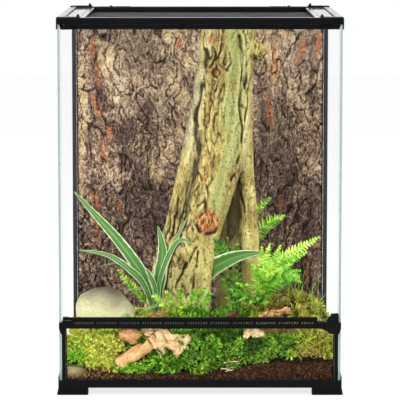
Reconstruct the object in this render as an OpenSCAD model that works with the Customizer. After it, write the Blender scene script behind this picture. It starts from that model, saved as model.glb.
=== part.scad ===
// Furnished reptile terrarium: a glass tank in a moulded frame, with a hinged front door,
// a louvred vent bar, a lift-out screen lid, and bark, driftwood, plants and soil inside.
// Millimetres. X is the width, -Y is the front, Z is up. The origin is the middle of the
// bounding box in plan, on the surface that the tank stands on.

/* [Tank] */
// Width over the frame's corners
tank_w = 450; // [440:1:600]
// Depth over the frame's corners
tank_d = 450; // [440:1:600]
// Height to the top of the frame's corners
tank_h = 600; // [590:1:750]
// Thickness of the side, rear, front, door and floor panes
glass_t = 4; // [3:0.1:5]
// Clearance on each face of a pane in its groove
pane_fit = 0.2; // [0.1:0.05:0.4]

/* [Base frame] */
// Outer wall of every frame channel
wall = 1.8; // [1.4:0.1:3]
// Inner wall of every frame channel
inner_wall = 3.8; // [2.5:0.1:5]
// How far the rails' faces lie behind the corner pieces' faces
rail_inset = 0.6; // [0.2:0.1:1]
// Radius of the frame's outer corners
corner_r = 3.5; // [1:0.1:5]
// Underside of the base rails
base_z = 12; // [8:0.5:20]
// Height of the base rails
base_h = 12.3; // [10:0.1:20]
// Thickness under the base rails' grooves
base_floor = 2; // [1.5:0.1:4]
// Width of the lip that carries the floor pane
lip_w = 8; // [5:0.5:14]
// Thickness of that lip
lip_t = 4; // [3:0.5:5]
// Length of a foot's arms
foot_arm = 47.5; // [40:0.5:60]
// How far a foot's skirt flares out
foot_flare = 2; // [0.5:0.5:4]
// How far a foot's side wall rises above the rails
foot_rise = 5.7; // [2:0.1:10]
// Diameter of the rubber pads under the feet
pad_d = 13; // [8:0.5:15]
// Thickness of the pads
pad_t = 3; // [2:0.5:5]
// How far the pads stand out below the feet
pad_out = 1; // [0.5:0.1:1.5]

/* [Posts] */
// Width of the rear corner posts
rear_post_w = 7.2; // [6.8:0.1:10]
// How far a pane laps the rear posts
post_lap = 1; // [0.8:0.1:1.2]
// Width of the posts beside the lower front pane
front_post_w = 5.6; // [4:0.1:8]
// Depth of those posts
front_post_d = 9; // [7:0.5:12]
// Flange of those posts behind the lower front pane
front_post_lap = 2; // [1:0.5:4]

/* [Vent bar] */
// Underside of the vent bar
vent_z = 107.3; // [95:0.1:120]
// Height of the vent bar
vent_h = 12.7; // [12:0.1:18]
// Depth of the vent bar
vent_d = 14; // [12:0.5:20]
// Height of the jamb behind the door's lower edge
jamb_h = 4.6; // [3:0.1:6]
// Pitch of the louvres
louvre_pitch = 4; // [3:0.1:6]
// Width of one louvre slot
louvre_w = 1.7; // [1:0.1:2.4]
// Height of the louvres
louvre_h = 4; // [2:0.1:4.4]
// Louvres in a group, with one left out after each group
louvre_group = 8; // [4:1:12]
// Thickness of the gauze behind the louvres
gauze_t = 0.6; // [0.4:0.1:1]

/* [Door] */
// Gap between the door and what it closes against
door_gap = 0.5; // [0.4:0.05:0.8]
// Gap between the door's free edge and the side pane
door_side_gap = 1; // [0.6:0.1:2]
// Height of the trim along the door's lower edge
trim_h = 4.4; // [3:0.1:8]
// Thickness of the trim and the hinge shoes in front of the pane
trim_t = 2; // [1.5:0.1:2.4]
// Radius of the hinge pins
pin_r = 2; // [1.5:0.1:2.2]
// Running clearance of the pins and the latch spindle, on the radius
run_fit = 0.05; // [0.03:0.01:0.1]
// Clearance of a pin in the piece that holds it, on the radius
hold_fit = 0.03; // [0.02:0.01:0.05]
// Wall of a hinge shoe round its pin
shoe_wall = 2.35; // [1.8:0.05:2.5]
// Length of a hinge shoe along the door
shoe_l = 12; // [10:0.5:20]

/* [Latch] */
// Radius of the latch lever's disc
lever_r = 11.2; // [9:0.1:12]
// Thickness of the lever
lever_t = 7; // [4:0.5:9]
// How far the lever's fin rises above its pivot
fin_h = 21.5; // [16:0.5:26]
// How far the fin's face lies behind the disc's face
fin_step = 2; // [0.5:0.5:3]
// Radius of the latch's base plate
latch_base_r = 10; // [7:0.1:10.2]
// Thickness of the base plate
latch_base_t = 2; // [1.5:0.1:3]
// Radius of the latch spindle
spindle_r = 2.5; // [2:0.1:3]
// Length of the cam from the spindle's axis
cam_l = 20; // [18:0.5:22]
// Thickness of the cam
cam_t = 2; // [1.5:0.1:3]
// Width of the cam
cam_w = 5; // [4:0.1:6]
// Thickness of the keeper's lip
keeper_t = 1.7; // [1.2:0.1:3]
// Gap on each side of the cam
cam_gap = 0.35; // [0.3:0.05:0.6]

/* [Top frame] */
// Depth of the top frame below the corners' top
top_h = 20; // [18:0.5:26]
// How far the rails' top lies below the corners' top
rail_drop = 1.5; // [0.5:0.1:2.5]
// Length of a top corner's arms
corner_arm = 38; // [34:0.5:60]
// Height of the nose above the door
nose_h = 12; // [11.5:0.1:14]
// Width of the front and side rims
rim_w = 12; // [11:0.5:16]
// Width of the rear cable deck
deck_w = 30; // [26:0.5:44]
// Width of the shelf that carries the lid and the top strips
shelf_w = 6; // [4:0.5:10]
// Thickness of that shelf
shelf_t = 3; // [2:0.5:4]
// Depth of that shelf below the corners' top
shelf_drop = 7.5; // [7:0.1:9]
// Width of the glass strip on each side of the lid
strip_w = 22; // [12:0.5:40]

/* [Lid] */
// Thickness of the lid's flange
lid_t = 4.2; // [3:0.1:5]
// Wall of the lid's sunk tray
tray_wall = 2; // [1.5:0.1:4]
// Depth of the tray below the flange
tray_drop = 5.8; // [4:0.1:10]
// Width and thickness of the ledge under the screen
ledge = 4; // [3:0.5:8]
// Thickness of that ledge
ledge_t = 1.5; // [1:0.1:3]
// Thickness of the wire screen
screen_t = 0.6; // [0.4:0.1:1]
// Openings each way in the plain grid that stands for the woven screen
screen_cells = 12; // [4:1:12]
// Width of that grid's bars
screen_bar = 3.5; // [2:0.5:6]
// Clearance round the lid
lid_gap = 0.3; // [0.3:0.05:1]
// Reach of a turn-button from its pivot
button_l = 7.5; // [6:0.1:8]
// Width of a turn-button
button_w = 5; // [4:0.1:6]
// Thickness of a turn-button
button_t = 1.8; // [1.2:0.1:3]
// Height of its knob
knob_h = 1.5; // [1:0.1:4]
// Radius of its pivot
button_pin_r = 1.5; // [1:0.1:2]

/* [Cable ports] */
// Length of a cable port along the deck
port_l = 26; // [16:0.5:30]
// Width of a cable port
port_w = 12; // [8:0.5:14]
// Distance of the ports' centres from the frame's sides
port_in = 62; // [60:1:100]
// Thickness of a sliding port cover
cover_t = 1.6; // [1.2:0.1:2]
// Overlap of a cover round its port
cover_lap = 1; // [0.5:0.1:1.5]
// Slope of the dovetail, as width lost on each edge
dovetail = 1; // [0.5:0.1:1.2]
// Clearance round a cover
cover_gap = 0.35; // [0.3:0.05:0.6]

/* [Furnishing] */
// Thickness of the bark panel on the rear wall
bark_t = 18; // [12:0.5:26]
// Level of the soil behind its front slope
soil_h = 46; // [36:0.5:60]
// Level of the soil at the front pane
soil_front_h = 30; // [20:0.5:34]
// Run of the front slope
slope_l = 108; // [90:1:112]
// Thickness of the moss on the front slope
moss_t = 28; // [10:0.5:34]
// Gap between loose things that lie together
loose_gap = 0.4; // [0.3:0.05:0.8]
// Gap between the driftwood's top and the lid's tray
trunk_gap = 16; // [13:1:60]
// Size of the stone: half length, half depth and height
stone = [50, 38, 90];
// Thickness of a leaf or a frond
leaf_t = 1.6; // [1:0.1:3]

/* [Hidden] */
$fn = 48;
half_w = tank_w / 2;
latch_reach = cam_gap + cam_t + cam_gap + latch_base_t + cam_gap + lever_t;
front_y = (latch_reach - foot_flare - tank_d) / 2;
rear_y = front_y + tank_d;
mid_y = (front_y + rear_y) / 2;
pane_u = wall + pane_fit;
groove_u = pane_u + glass_t + pane_fit;
channel_w = groove_u + inner_wall;
base_top = base_z + base_h;
groove_z = base_z + base_floor;
floor_z = base_z + lip_t;
soil_z = floor_z + glass_t;
seat_z = soil_z + soil_h;
door_u = pane_u + glass_t + door_gap;
vent_top = vent_z + vent_h;
vent_web_z = vent_z + 4.7;
vent_web_t = 1.2;
louvre_z = vent_web_z + vent_web_t + 0.4;
front_pane_top = vent_web_z;
top_z = tank_h - top_h;
nose_z = tank_h - nose_h;
rail_top = tank_h - rail_drop;
shelf_z = tank_h - shelf_drop;
pane_top = shelf_z - 0.5;

// Door
door_x0 = -(half_w - pane_u - glass_t - 1.5);
door_x1 = half_w - pane_u - glass_t - door_side_gap;
door_z0 = vent_top + 0.6 + trim_h - 2.8;
door_z1 = nose_z - door_gap;
shoe_r = pin_r + run_fit + shoe_wall;
hinge_x = door_x0 + shoe_r + 0.1;
hinge_y = front_y + pane_u + glass_t / 2;
trim_z = vent_top + 0.6;
shoe_x1 = hinge_x + shoe_l;
trim_x1 = half_w - 39;
notch_x = hinge_x + shoe_r + 0.2;
upper_shoe_z = top_z;
lower_shoe_h = trim_h + 0.6;

// Latch, from the rear: cam, base plate, lever
latch_x = half_w - 16;
latch_z = vent_z + 4.7;
cam_y1 = front_y - cam_gap;
cam_y0 = cam_y1 - cam_t;
plate_y1 = cam_y0 - cam_gap;
plate_y0 = plate_y1 - latch_base_t;
lever_y1 = plate_y0 - cam_gap;
lever_y0 = lever_y1 - lever_t;
keeper_x = latch_x - cam_l - 3;

// Lid, strips and ports
lid_x = half_w - rim_w - strip_w - 1;
lid_y0 = front_y + rim_w + lid_gap;
lid_y1 = rear_y - deck_w - lid_gap;
lid_z = shelf_z + lid_gap;
tray_u = shelf_w + lid_gap;
tray_z = lid_z - tray_drop;
button_x = half_w - corner_arm + 3.5;
button_front_y = front_y + rim_w - 4.5;
button_rear_y = rear_y - deck_w + 4.5;
button_z = tank_h + 0.3;
port_x = half_w - port_in;
port_y = rear_y - deck_w + 5 + port_w / 2;
cover_l = port_l + 2 * cover_lap;
cover_w = port_w + 2 * cover_lap;
cover_z = rail_top - cover_t;

// Furnishing
room_x = half_w - pane_u - glass_t - 0.6;
soil_y0 = front_y + pane_u + glass_t + 0.6;
bark_y0 = rear_y - pane_u - glass_t - 0.6 - bark_t;
slope_y = front_y + slope_l;
trunk_y = front_y + 252;
trunk_top = tray_z - trunk_gap;
moss_right_x = half_w - 75;

// ---- Shared shapes ----

// Box from one corner to the other
module span(a, b) {
    translate(a) cube(b - a);
}

// Puts a shape drawn with its outer corner at the origin on one corner of the tank:
// +x and +y run inwards, side is -1 left or 1 right, end is -1 front or 1 rear
module at_corner(side, end) {
    translate([side * half_w, end < 0 ? front_y : rear_y, 0])
        mirror([side > 0 ? 1 : 0, 0, 0])
        mirror([0, end > 0 ? 1 : 0, 0])
        children();
}

// Puts a rail drawn along x, with its outer face at y = 0 and +y inwards, on one side
module at_front() translate([0, front_y, 0]) children();
module at_rear() translate([0, rear_y, 0]) rotate([0, 0, 180]) children();
module at_left() translate([-half_w, mid_y, 0]) rotate([0, 0, -90]) children();
module at_right() translate([half_w, mid_y, 0]) rotate([0, 0, 90]) children();

// L-shaped band round a corner, from depth u0 to u1
module corner_band(u0, u1, arm, z0, z1) {
    difference() {
        span([u0, u0, z0], [arm, arm, z1]);
        span([u1, u1, z0 - 1], [arm + 1, arm + 1, z1 + 1]);
    }
}

// Upright with its outer vertical edge rounded, for trimming a corner piece
module rounded_post(size, z0, z1) {
    translate([corner_r, corner_r, z0]) cylinder(r = corner_r, h = z1 - z0);
    span([corner_r, 0, z0], [size, size, z1]);
    span([0, corner_r, z0], [size, size, z1]);
}

// Long prism along x with its outer upper edge rounded
module rounded_bar(size, z0, z1) {
    span([0, 0, z0], [size, size, z1 - corner_r]);
    span([0, corner_r, z0], [size, size, z1]);
    translate([0, corner_r, z1 - corner_r]) rotate([0, 90, 0]) cylinder(r = corner_r, h = size);
}

module corner_trim(size, z0, z1) {
    intersection() {
        rounded_post(size, z0, z1);
        rounded_bar(size, z0, z1);
        mirror([1, -1, 0]) rounded_bar(size, z0, z1);
    }
}

// ---- Base frame ----

module foot_shape() {
    pad_at = channel_w + lip_w - pad_d / 2 - 1;
    difference() {
        union() {
            intersection() {
                union() {
                    corner_band(0, channel_w + lip_w, foot_arm, pad_out, floor_z);
                    corner_band(0, channel_w, foot_arm, floor_z - 1, base_top);
                    span([0, 0, base_top - 1], [wall, foot_arm, base_top + foot_rise]);
                }
                rounded_post(foot_arm, 0, base_top + foot_rise);
            }
            difference() {
                hull() {
                    translate([-foot_flare, -foot_flare, 0]) rounded_post(foot_arm + foot_flare, pad_out, pad_out + 1);
                    rounded_post(foot_arm, base_z - 1, base_z);
                }
                span([channel_w, channel_w, 0], [foot_arm + 1, foot_arm + 1, base_z + 1]);
            }
        }
        corner_band(wall, groove_u, foot_arm + 1, groove_z, base_top + foot_rise + 1);
        for (place = [[pad_at, pad_at], [foot_arm - pad_d, pad_at], [pad_at, foot_arm - pad_d]])
            translate([place.x, place.y, -1]) cylinder(d = pad_d, h = pad_t + 1);
    }
}

module foot_pad_set() {
    pad_at = channel_w + lip_w - pad_d / 2 - 1;
    for (place = [[pad_at, pad_at], [foot_arm - pad_d, pad_at], [pad_at, foot_arm - pad_d]])
        translate(place) cylinder(d = pad_d - 2 * hold_fit, h = pad_t);
}

module foot(side, end) color("#17181b") at_corner(side, end) foot_shape();
module foot_front_left() foot(-1, -1);
module foot_front_right() foot(1, -1);
module foot_rear_left() foot(-1, 1);
module foot_rear_right() foot(1, 1);

module foot_pads() {
    color("#26262a")
        for (side = [-1, 1], end = [-1, 1])
            at_corner(side, end) foot_pad_set();
}

module base_rail_shape(length) {
    difference() {
        union() {
            span([-length / 2, rail_inset, base_z], [length / 2, channel_w, base_top]);
            span([-length / 2, rail_inset, base_z], [length / 2, channel_w + lip_w, floor_z]);
        }
        span([-length, wall, groove_z], [length, groove_u, base_top + 1]);
    }
}

module base_rail_front() color("#17181b") at_front() base_rail_shape(tank_w - 2 * foot_arm);
module base_rail_rear() color("#17181b") at_rear() base_rail_shape(tank_w - 2 * foot_arm);
module base_rail_left() color("#17181b") at_left() base_rail_shape(tank_d - 2 * foot_arm);
module base_rail_right() color("#17181b") at_right() base_rail_shape(tank_d - 2 * foot_arm);

// ---- Panes ----

module floor_glass() {
    inset = channel_w + 2;
    color("#b9d4cc", 0.5)
        span([-half_w + inset, front_y + inset, floor_z], [half_w - inset, rear_y - inset, floor_z + glass_t]);
}

module side_glass() {
    rear_edge = pane_u + rear_post_w - post_lap;
    color("#b9d4cc", 0.4)
        span([pane_u - half_w, front_y + pane_u, groove_z], [pane_u + glass_t - half_w, rear_y - rear_edge, pane_top]);
}

module side_glass_left() side_glass();
module side_glass_right() mirror([1, 0, 0]) side_glass();

module rear_glass() {
    half = half_w - pane_u - rear_post_w + post_lap;
    color("#b9d4cc", 0.4)
        span([-half, rear_y - pane_u - glass_t, groove_z], [half, rear_y - pane_u, pane_top]);
}

module lower_front_glass() {
    half = half_w - pane_u - glass_t - front_post_w - pane_fit;
    color("#b9d4cc", 0.4)
        span([-half, front_y + pane_u, groove_z], [half, front_y + pane_u + glass_t, front_pane_top]);
}

// ---- Posts ----

module lower_post() {
    x1 = half_w - pane_u - glass_t;
    x0 = x1 - front_post_w;
    glass_y = front_y + groove_u;
    color("#17181b") {
        span([-x1, front_y + pane_u, base_top], [-x0, glass_y + 1, vent_z]);
        span([-x1, glass_y, base_top], [-x0 + front_post_lap, front_y + pane_u + front_post_d, vent_z]);
    }
}

module lower_post_left() lower_post();
module lower_post_right() mirror([1, 0, 0]) lower_post();

// The rear post stands between the two panes' edges and laps both on the inside
module rear_post() {
    u1 = pane_u + rear_post_w;
    lap = post_lap + pane_fit;
    color("#3a3b40") difference() {
        span([wall, wall, base_top], [u1, u1, top_z]);
        span([0, u1 - lap, base_top - 1], [groove_u, u1 + 1, top_z + 1]);
        span([u1 - lap, 0, base_top - 1], [u1 + 1, groove_u, top_z + 1]);
    }
}

module rear_post_left() at_corner(-1, 1) rear_post();
module rear_post_right() at_corner(1, 1) rear_post();

// ---- Vent bar ----

module louvres() {
    x0 = shoe_x1 + 1;
    x1 = trim_x1 - 3;
    count = floor((x1 - x0) / louvre_pitch);
    for (i = [0 : count - 1])
        if ((i + 1) % (louvre_group + 1) != 0)
            translate([x0 + i * louvre_pitch, front_y + wall + 1, louvre_z])
                rotate([90, 0, 0]) linear_extrude(wall + 2)
                polygon([[0, 0], [louvre_w, 0], [louvre_w + 1.6, louvre_h], [1.6, louvre_h]]);
}

module vent_bar() {
    half = half_w - groove_u;
    y0 = front_y;
    y1 = front_y + vent_d;
    low_top = vent_top - 2;
    lap_x = half_w - pane_u - glass_t - front_post_w;
    jamb_y = y0 + door_u;
    color("#141519") difference() {
        union() {
            span([-half, y0, vent_z], [trim_x1, y0 + wall, vent_top]);
            span([trim_x1 - 1, y0, vent_z], [half, y0 + wall, low_top]);
            span([-half, y0, vent_web_z], [half, y1, vent_web_z + vent_web_t]);
            span([-half, y0, low_top], [trim_x1, y1, vent_top]);
            span([-lap_x, y0 + groove_u, vent_z], [lap_x, y0 + groove_u + wall, vent_web_z + vent_web_t / 2]);
            span([-half, y0, vent_web_z], [shoe_x1 - 1, y1, vent_top]);
            span([trim_x1 - 1, y0, vent_web_z], [half, y1, low_top]);
            span([shoe_x1 - 2, jamb_y, low_top], [trim_x1 - 1, jamb_y + 2, vent_top + jamb_h]);
        }
        louvres();
        translate([hinge_x, hinge_y, vent_web_z + vent_web_t]) cylinder(r = pin_r + hold_fit, h = vent_h);
    }
}

module vent_gauze() {
    y1 = front_y + vent_d;
    color("#3c3d40")
        span([shoe_x1 - 1, y1 - gauze_t, vent_web_z + vent_web_t], [trim_x1 - 1, y1, vent_top - 2]);
}

// One clip over the front edge of each side pane, tapering to the post
module vent_end_clip() {
    x0 = half_w - groove_u;
    x1 = half_w - wall + 0.1;
    translate([0, front_y + pane_u, 0]) rotate([90, 0, 0]) linear_extrude(3)
        polygon([[x0, vent_z - 9], [x0 + 1.2, vent_z - 9], [x1, vent_z], [x1, vent_z + 10], [x0, vent_z + 10]]);
}

module vent_end_clips() {
    color("#141519") {
        vent_end_clip();
        mirror([1, 0, 0]) vent_end_clip();
    }
}

// Foot on the vent bar and a lip that the latch's cam turns behind
module latch_keeper() {
    z0 = vent_z + 1.2;
    z1 = vent_top - 2.5;
    lip_y1 = cam_y0 - cam_gap;
    lip_y0 = lip_y1 - keeper_t;
    color("#141519") {
        span([keeper_x, lip_y0, z0], [keeper_x + 2.6, front_y, z1]);
        span([keeper_x, lip_y0, z0], [latch_x - latch_base_r - 0.7, lip_y1, z1]);
    }
}

// ---- Top frame ----

module top_side_channel(y0, y1, outer, top) {
    span([outer, y0, top_z], [channel_w, y1, shelf_z]);
    span([outer, y0, pane_top], [rim_w, y1, top]);
    span([channel_w - 1, y0, shelf_z - shelf_t], [rim_w + shelf_w, y1, shelf_z]);
}

module top_corner_front(side) {
    color("#1b1a1d") at_corner(side, -1) difference() {
        intersection() {
            union() {
                top_side_channel(0, corner_arm, 0, tank_h);
                span([0, 0, top_z], [corner_arm, rim_w, tank_h]);
                span([0, rim_w - 1, shelf_z - shelf_t], [corner_arm, rim_w + shelf_w, shelf_z]);
            }
            corner_trim(corner_arm, top_z, tank_h);
        }
        // Groove for the side pane, and the open slot that shows its front edge
        span([wall, wall, top_z - 1], [groove_u, corner_arm + 1, pane_top]);
        // Rebate for the door
        span([wall, -1, top_z - 1], [corner_arm + 1, door_u, nose_z]);
        span([wall, -1, top_z - 1], [groove_u, rim_w + 1, nose_z]);
        translate([half_w - button_x, button_front_y - front_y, tank_h - 7])
            cylinder(r = button_pin_r + run_fit, h = 8);
        if (side < 0)
            translate([hinge_x + half_w, hinge_y - front_y, 0]) {
                translate([0, 0, top_z - 1]) cylinder(r = shoe_r + 0.5, h = nose_z - top_z + 1);
                cylinder(r = pin_r + hold_fit, h = tank_h - 3);
            }
    }
}

module top_corner_front_left() top_corner_front(-1);
module top_corner_front_right() top_corner_front(1);

module top_corner_rear(side) {
    color("#1b1a1d") at_corner(side, 1) difference() {
        intersection() {
            union() {
                top_side_channel(0, corner_arm, 0, tank_h);
                span([0, 0, top_z], [corner_arm, channel_w, shelf_z]);
                span([0, 0, pane_top], [corner_arm, deck_w, tank_h]);
                span([0, deck_w - 4, shelf_z - shelf_t], [corner_arm, deck_w + shelf_w, shelf_z]);
            }
            corner_trim(corner_arm + 20, top_z, tank_h);
        }
        corner_band(wall, groove_u, corner_arm + 20, top_z - 1, pane_top);
        span([rim_w, deck_w, shelf_z], [corner_arm + 1, corner_arm + 1, tank_h + 1]);
        translate([half_w - button_x, rear_y - button_rear_y, tank_h - 7])
            cylinder(r = button_pin_r + run_fit, h = 8);
    }
}

module top_corner_rear_left() top_corner_rear(-1);
module top_corner_rear_right() top_corner_rear(1);

module top_rail_front() {
    half = half_w - corner_arm;
    color("#1b1a1d") at_front() {
        span([-half, rail_inset, nose_z], [half, rim_w, rail_top]);
        span([-half, door_u, top_z], [half, rim_w, nose_z + 1]);
        span([-half, rim_w - 1, shelf_z - shelf_t], [half, rim_w + shelf_w, shelf_z]);
    }
}

// Dovetail strip along x for a port cover, or for its pocket when grown
module dovetail_strip(x0, x1, z0, grow) {
    half = cover_w / 2 + grow;
    translate([x0, port_y, z0]) rotate([90, 0, 90]) linear_extrude(x1 - x0)
        polygon([[-half, 0], [half, 0], [half - dovetail, cover_t + grow], [dovetail - half, cover_t + grow]]);
}

module port_pocket() {
    dovetail_strip(port_x - cover_l / 2 - cover_l - cover_gap, port_x + cover_l / 2 + cover_gap,
        cover_z - cover_gap, cover_gap);
    span([port_x - port_l / 2, port_y - port_w / 2, shelf_z - shelf_t - 1],
        [port_x + port_l / 2, port_y + port_w / 2, rail_top]);
}

module top_rail_rear() {
    half = half_w - corner_arm;
    color("#1b1a1d") difference() {
        at_rear() difference() {
            union() {
                span([-half, rail_inset, top_z], [half, channel_w, shelf_z]);
                span([-half, rail_inset, pane_top], [half, deck_w, rail_top]);
                span([-half, deck_w - 4, shelf_z - shelf_t], [half, deck_w + shelf_w, shelf_z]);
            }
            span([-half - 1, wall, top_z - 1], [half + 1, groove_u, pane_top]);
        }
        port_pocket();
        mirror([1, 0, 0]) port_pocket();
    }
}

module top_rail_side() {
    half = tank_d / 2 - corner_arm;
    rotate([0, 0, 90]) mirror([0, 1, 0]) difference() {
        top_side_channel(-half, half, rail_inset, rail_top);
        span([wall, -half - 1, top_z - 1], [groove_u, half + 1, pane_top]);
    }
}

module top_rail_left() color("#1b1a1d") at_left() top_rail_side();
module top_rail_right() color("#1b1a1d") at_right() top_rail_side();

module top_strip_left() {
    color("#dfe9e6", 0.6)
        span([rim_w + 0.2 - half_w, front_y + rim_w + 0.2, shelf_z], [-lid_x - 1, rear_y - deck_w - 0.2, shelf_z + glass_t]);
}

module top_strip_right() mirror([1, 0, 0]) top_strip_left();

module hinge_pins() {
    color("#b8b9bc") {
        translate([hinge_x, hinge_y, vent_web_z + vent_web_t])
            cylinder(r = pin_r, h = trim_z + lower_shoe_h - 1 - vent_web_z - vent_web_t);
        translate([hinge_x, hinge_y, upper_shoe_z + 1]) cylinder(r = pin_r, h = tank_h - 3 - upper_shoe_z - 1);
    }
}

// ---- Door ----

module door_glass() {
    y0 = front_y + pane_u;
    color("#b9d4cc", 0.4) difference() {
        span([door_x0, y0, door_z0], [door_x1, y0 + glass_t, door_z1]);
        span([door_x0 - 1, y0 - 1, door_z0 - 1], [notch_x, y0 + glass_t + 1, trim_z + lower_shoe_h + 0.3]);
        span([door_x0 - 1, y0 - 1, upper_shoe_z - 0.3], [notch_x, y0 + glass_t + 1, door_z1 + 1]);
    }
}

module door_bottom_trim() {
    y = front_y + pane_u;
    color("#1b1a1d") {
        span([shoe_x1 + 0.1, y - trim_t, trim_z], [trim_x1, y, trim_z + trim_h]);
        span([shoe_x1 + 0.1, y - 1, trim_z], [trim_x1, y + glass_t, door_z0]);
    }
}

// Barrel on the hinge axis with a leg on the face of the door pane
module door_shoe(z0, z1) {
    y = front_y + pane_u;
    difference() {
        union() {
            translate([hinge_x, hinge_y, z0]) cylinder(r = shoe_r, h = z1 - z0);
            span([hinge_x, y - trim_t, z0], [shoe_x1, y, z1]);
        }
        translate([hinge_x, hinge_y, z0 - 1]) cylinder(r = pin_r + run_fit, h = z1 - z0 + 2);
    }
}

module door_shoe_lower() {
    y = front_y + pane_u;
    color("#1b1a1d") {
        door_shoe(trim_z, trim_z + lower_shoe_h);
        span([notch_x, y - 1, trim_z], [shoe_x1, y + glass_t, door_z0]);
    }
}

module door_shoe_upper() color("#1b1a1d") door_shoe(upper_shoe_z, door_z1);

// ---- Latch ----

module along_y(y0, y1) {
    translate([0, y1, 0]) rotate([90, 0, 0]) linear_extrude(y1 - y0) children();
}

module latch_base() {
    ear_x0 = latch_x + cam_w / 2 + 1.2;
    ear_z1 = door_z0 + 9;
    color("#141519") difference() {
        union() {
            along_y(plate_y0, plate_y1) translate([latch_x, latch_z]) circle(latch_base_r);
            span([ear_x0, plate_y0, latch_z], [door_x1, plate_y1, ear_z1]);
            span([ear_x0, plate_y0, door_z0 + 0.4], [door_x1, front_y + pane_u, ear_z1]);
        }
        along_y(plate_y0 - 1, plate_y1 + 1) translate([latch_x, latch_z]) circle(spindle_r + run_fit);
    }
}

module latch_lever() {
    r = lever_r;
    h = fin_h;
    color("#0f1013") {
        along_y(lever_y0, lever_y1) translate([latch_x, latch_z]) circle(r);
        along_y(lever_y0 + fin_step, lever_y1) translate([latch_x, latch_z])
            polygon([[0, 0], [-0.82 * r, 0.3 * h], [-0.82 * r, 0.47 * h], [-0.52 * r, 0.69 * h],
                [-0.14 * r, 0.88 * h], [0.27 * r, 0.97 * h], [0.66 * r, h], [0.84 * r, 0.96 * h],
                [0.9 * r, 0.7 * h], [0.92 * r, 0.3 * h]]);
    }
}

module latch_spindle() {
    color("#0f1013") along_y(lever_y1, cam_y1) translate([latch_x, latch_z]) circle(spindle_r);
}

module latch_cam() {
    color("#0f1013") along_y(cam_y0, cam_y1) translate([latch_x, latch_z]) difference() {
        union() {
            circle(spindle_r + 1.7);
            translate([-cam_w / 2, 0]) square([cam_w, cam_l]);
        }
        circle(spindle_r + hold_fit);
    }
}

// ---- Lid ----

module lid_block(inset, z0, z1) {
    span([-lid_x + inset, lid_y0 + inset, z0], [lid_x - inset, lid_y1 - inset, z1]);
}

module lid_frame() {
    inner = tray_u + tray_wall;
    color("#1b1a1d") difference() {
        union() {
            lid_block(0, lid_z, lid_z + lid_t);
            lid_block(tray_u, tray_z, lid_z + 1);
        }
        lid_block(inner, tray_z + ledge_t, lid_z + lid_t + 1);
        lid_block(inner + ledge, tray_z - 1, lid_z);
    }
}

module lid_screen() {
    inset = tray_u + tray_wall + 0.2;
    x0 = -lid_x + inset;
    y0 = lid_y0 + inset;
    z0 = tray_z + ledge_t;
    dx = (-2 * x0 - screen_bar) / screen_cells;
    dy = (lid_y1 - inset - y0 - screen_bar) / screen_cells;
    color("#8b8d90") difference() {
        lid_block(inset, z0, z0 + screen_t);
        for (i = [0 : screen_cells - 1], j = [0 : screen_cells - 1])
            translate([x0 + screen_bar + i * dx, y0 + screen_bar + j * dy, z0 - 1])
                cube([dx - screen_bar, dy - screen_bar, screen_t + 2]);
    }
}

// Turn-button with its arm pointing along -y from the pivot
module button_shape() {
    translate([0, 0, button_z]) {
        cylinder(d = button_w, h = button_t);
        span([-button_w / 2, -button_l, 0], [button_w / 2, 0, button_t]);
        cylinder(d = button_w - 1.6, h = button_t + knob_h);
    }
    translate([0, 0, tank_h - 6.5]) cylinder(r = button_pin_r, h = button_z + 1 - (tank_h - 6.5));
}

module button_front_left() color("#1b1a1d") translate([-button_x, button_front_y, 0]) button_shape();
module button_front_right() color("#1b1a1d") translate([button_x, button_front_y, 0]) button_shape();
module button_rear_left() color("#1b1a1d") translate([-button_x, button_rear_y, 0]) rotate(180) button_shape();
module button_rear_right() color("#1b1a1d") translate([button_x, button_rear_y, 0]) rotate(180) button_shape();

// ---- Cable port covers ----

module port_cover() {
    dovetail_strip(port_x - cover_l / 2, port_x + cover_l / 2, cover_z, 0);
    translate([port_x - cover_l / 2 + 5, port_y, rail_top - 1]) cylinder(d = 5, h = 2.2);
}

module port_cover_left() color("#1b1a1d") mirror([1, 0, 0]) port_cover();
module port_cover_right() color("#1b1a1d") port_cover();

// ---- Furnishing ----

// Bark panel with upright ridges of uneven depth
module bark_panel() {
    x1 = half_w - channel_w - 1.4;
    y1 = bark_y0 + bark_t;
    step = 36;
    count = floor(2 * x1 / step);
    color("#5b4438") {
        span([-x1, bark_y0 + 6, soil_z], [x1, rear_y - channel_w - 0.4, base_top + 0.4]);
        span([-x1, bark_y0 + 6, base_top], [x1, y1, top_z - 1]);
        for (i = [0 : count - 1])
            span([-x1 + i * step + 3, bark_y0 + 2 + 2 * sin(i * 130), soil_z],
                [-x1 + i * step + step - 7, bark_y0 + 7, top_z - 8 - 10 * abs(sin(i * 70))]);
    }
}

// Bed that follows the ground: flat behind, sloping down to the front pane
module ground_bed(x1, y0, y1, front_z, back_z, floor) {
    translate([x1, 0, 0]) rotate([90, 0, -90]) linear_extrude(2 * x1)
        polygon([[-y0, floor], [-y0, front_z], [-min(slope_y, y1), back_z], [-y1, back_z], [-y1, floor]]);
}

module soil() {
    inner = half_w - channel_w - 0.5;
    post_x = half_w - pane_u - glass_t - front_post_w - front_post_lap - 0.5;
    color("#3b2519") difference() {
        union() {
            span([-inner, front_y + channel_w + 0.5, soil_z], [inner, bark_y0 - 0.5, base_top + 0.6]);
            ground_bed(room_x, soil_y0, bark_y0 - 0.5, soil_z + soil_front_h, seat_z, base_top + 0.4);
        }
        for (side = [-1, 1])
            span([side > 0 ? post_x : -half_w, front_y, 0], [side > 0 ? half_w : -post_x,
                front_y + pane_u + front_post_d + 0.5, seat_z]);
    }
}

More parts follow.
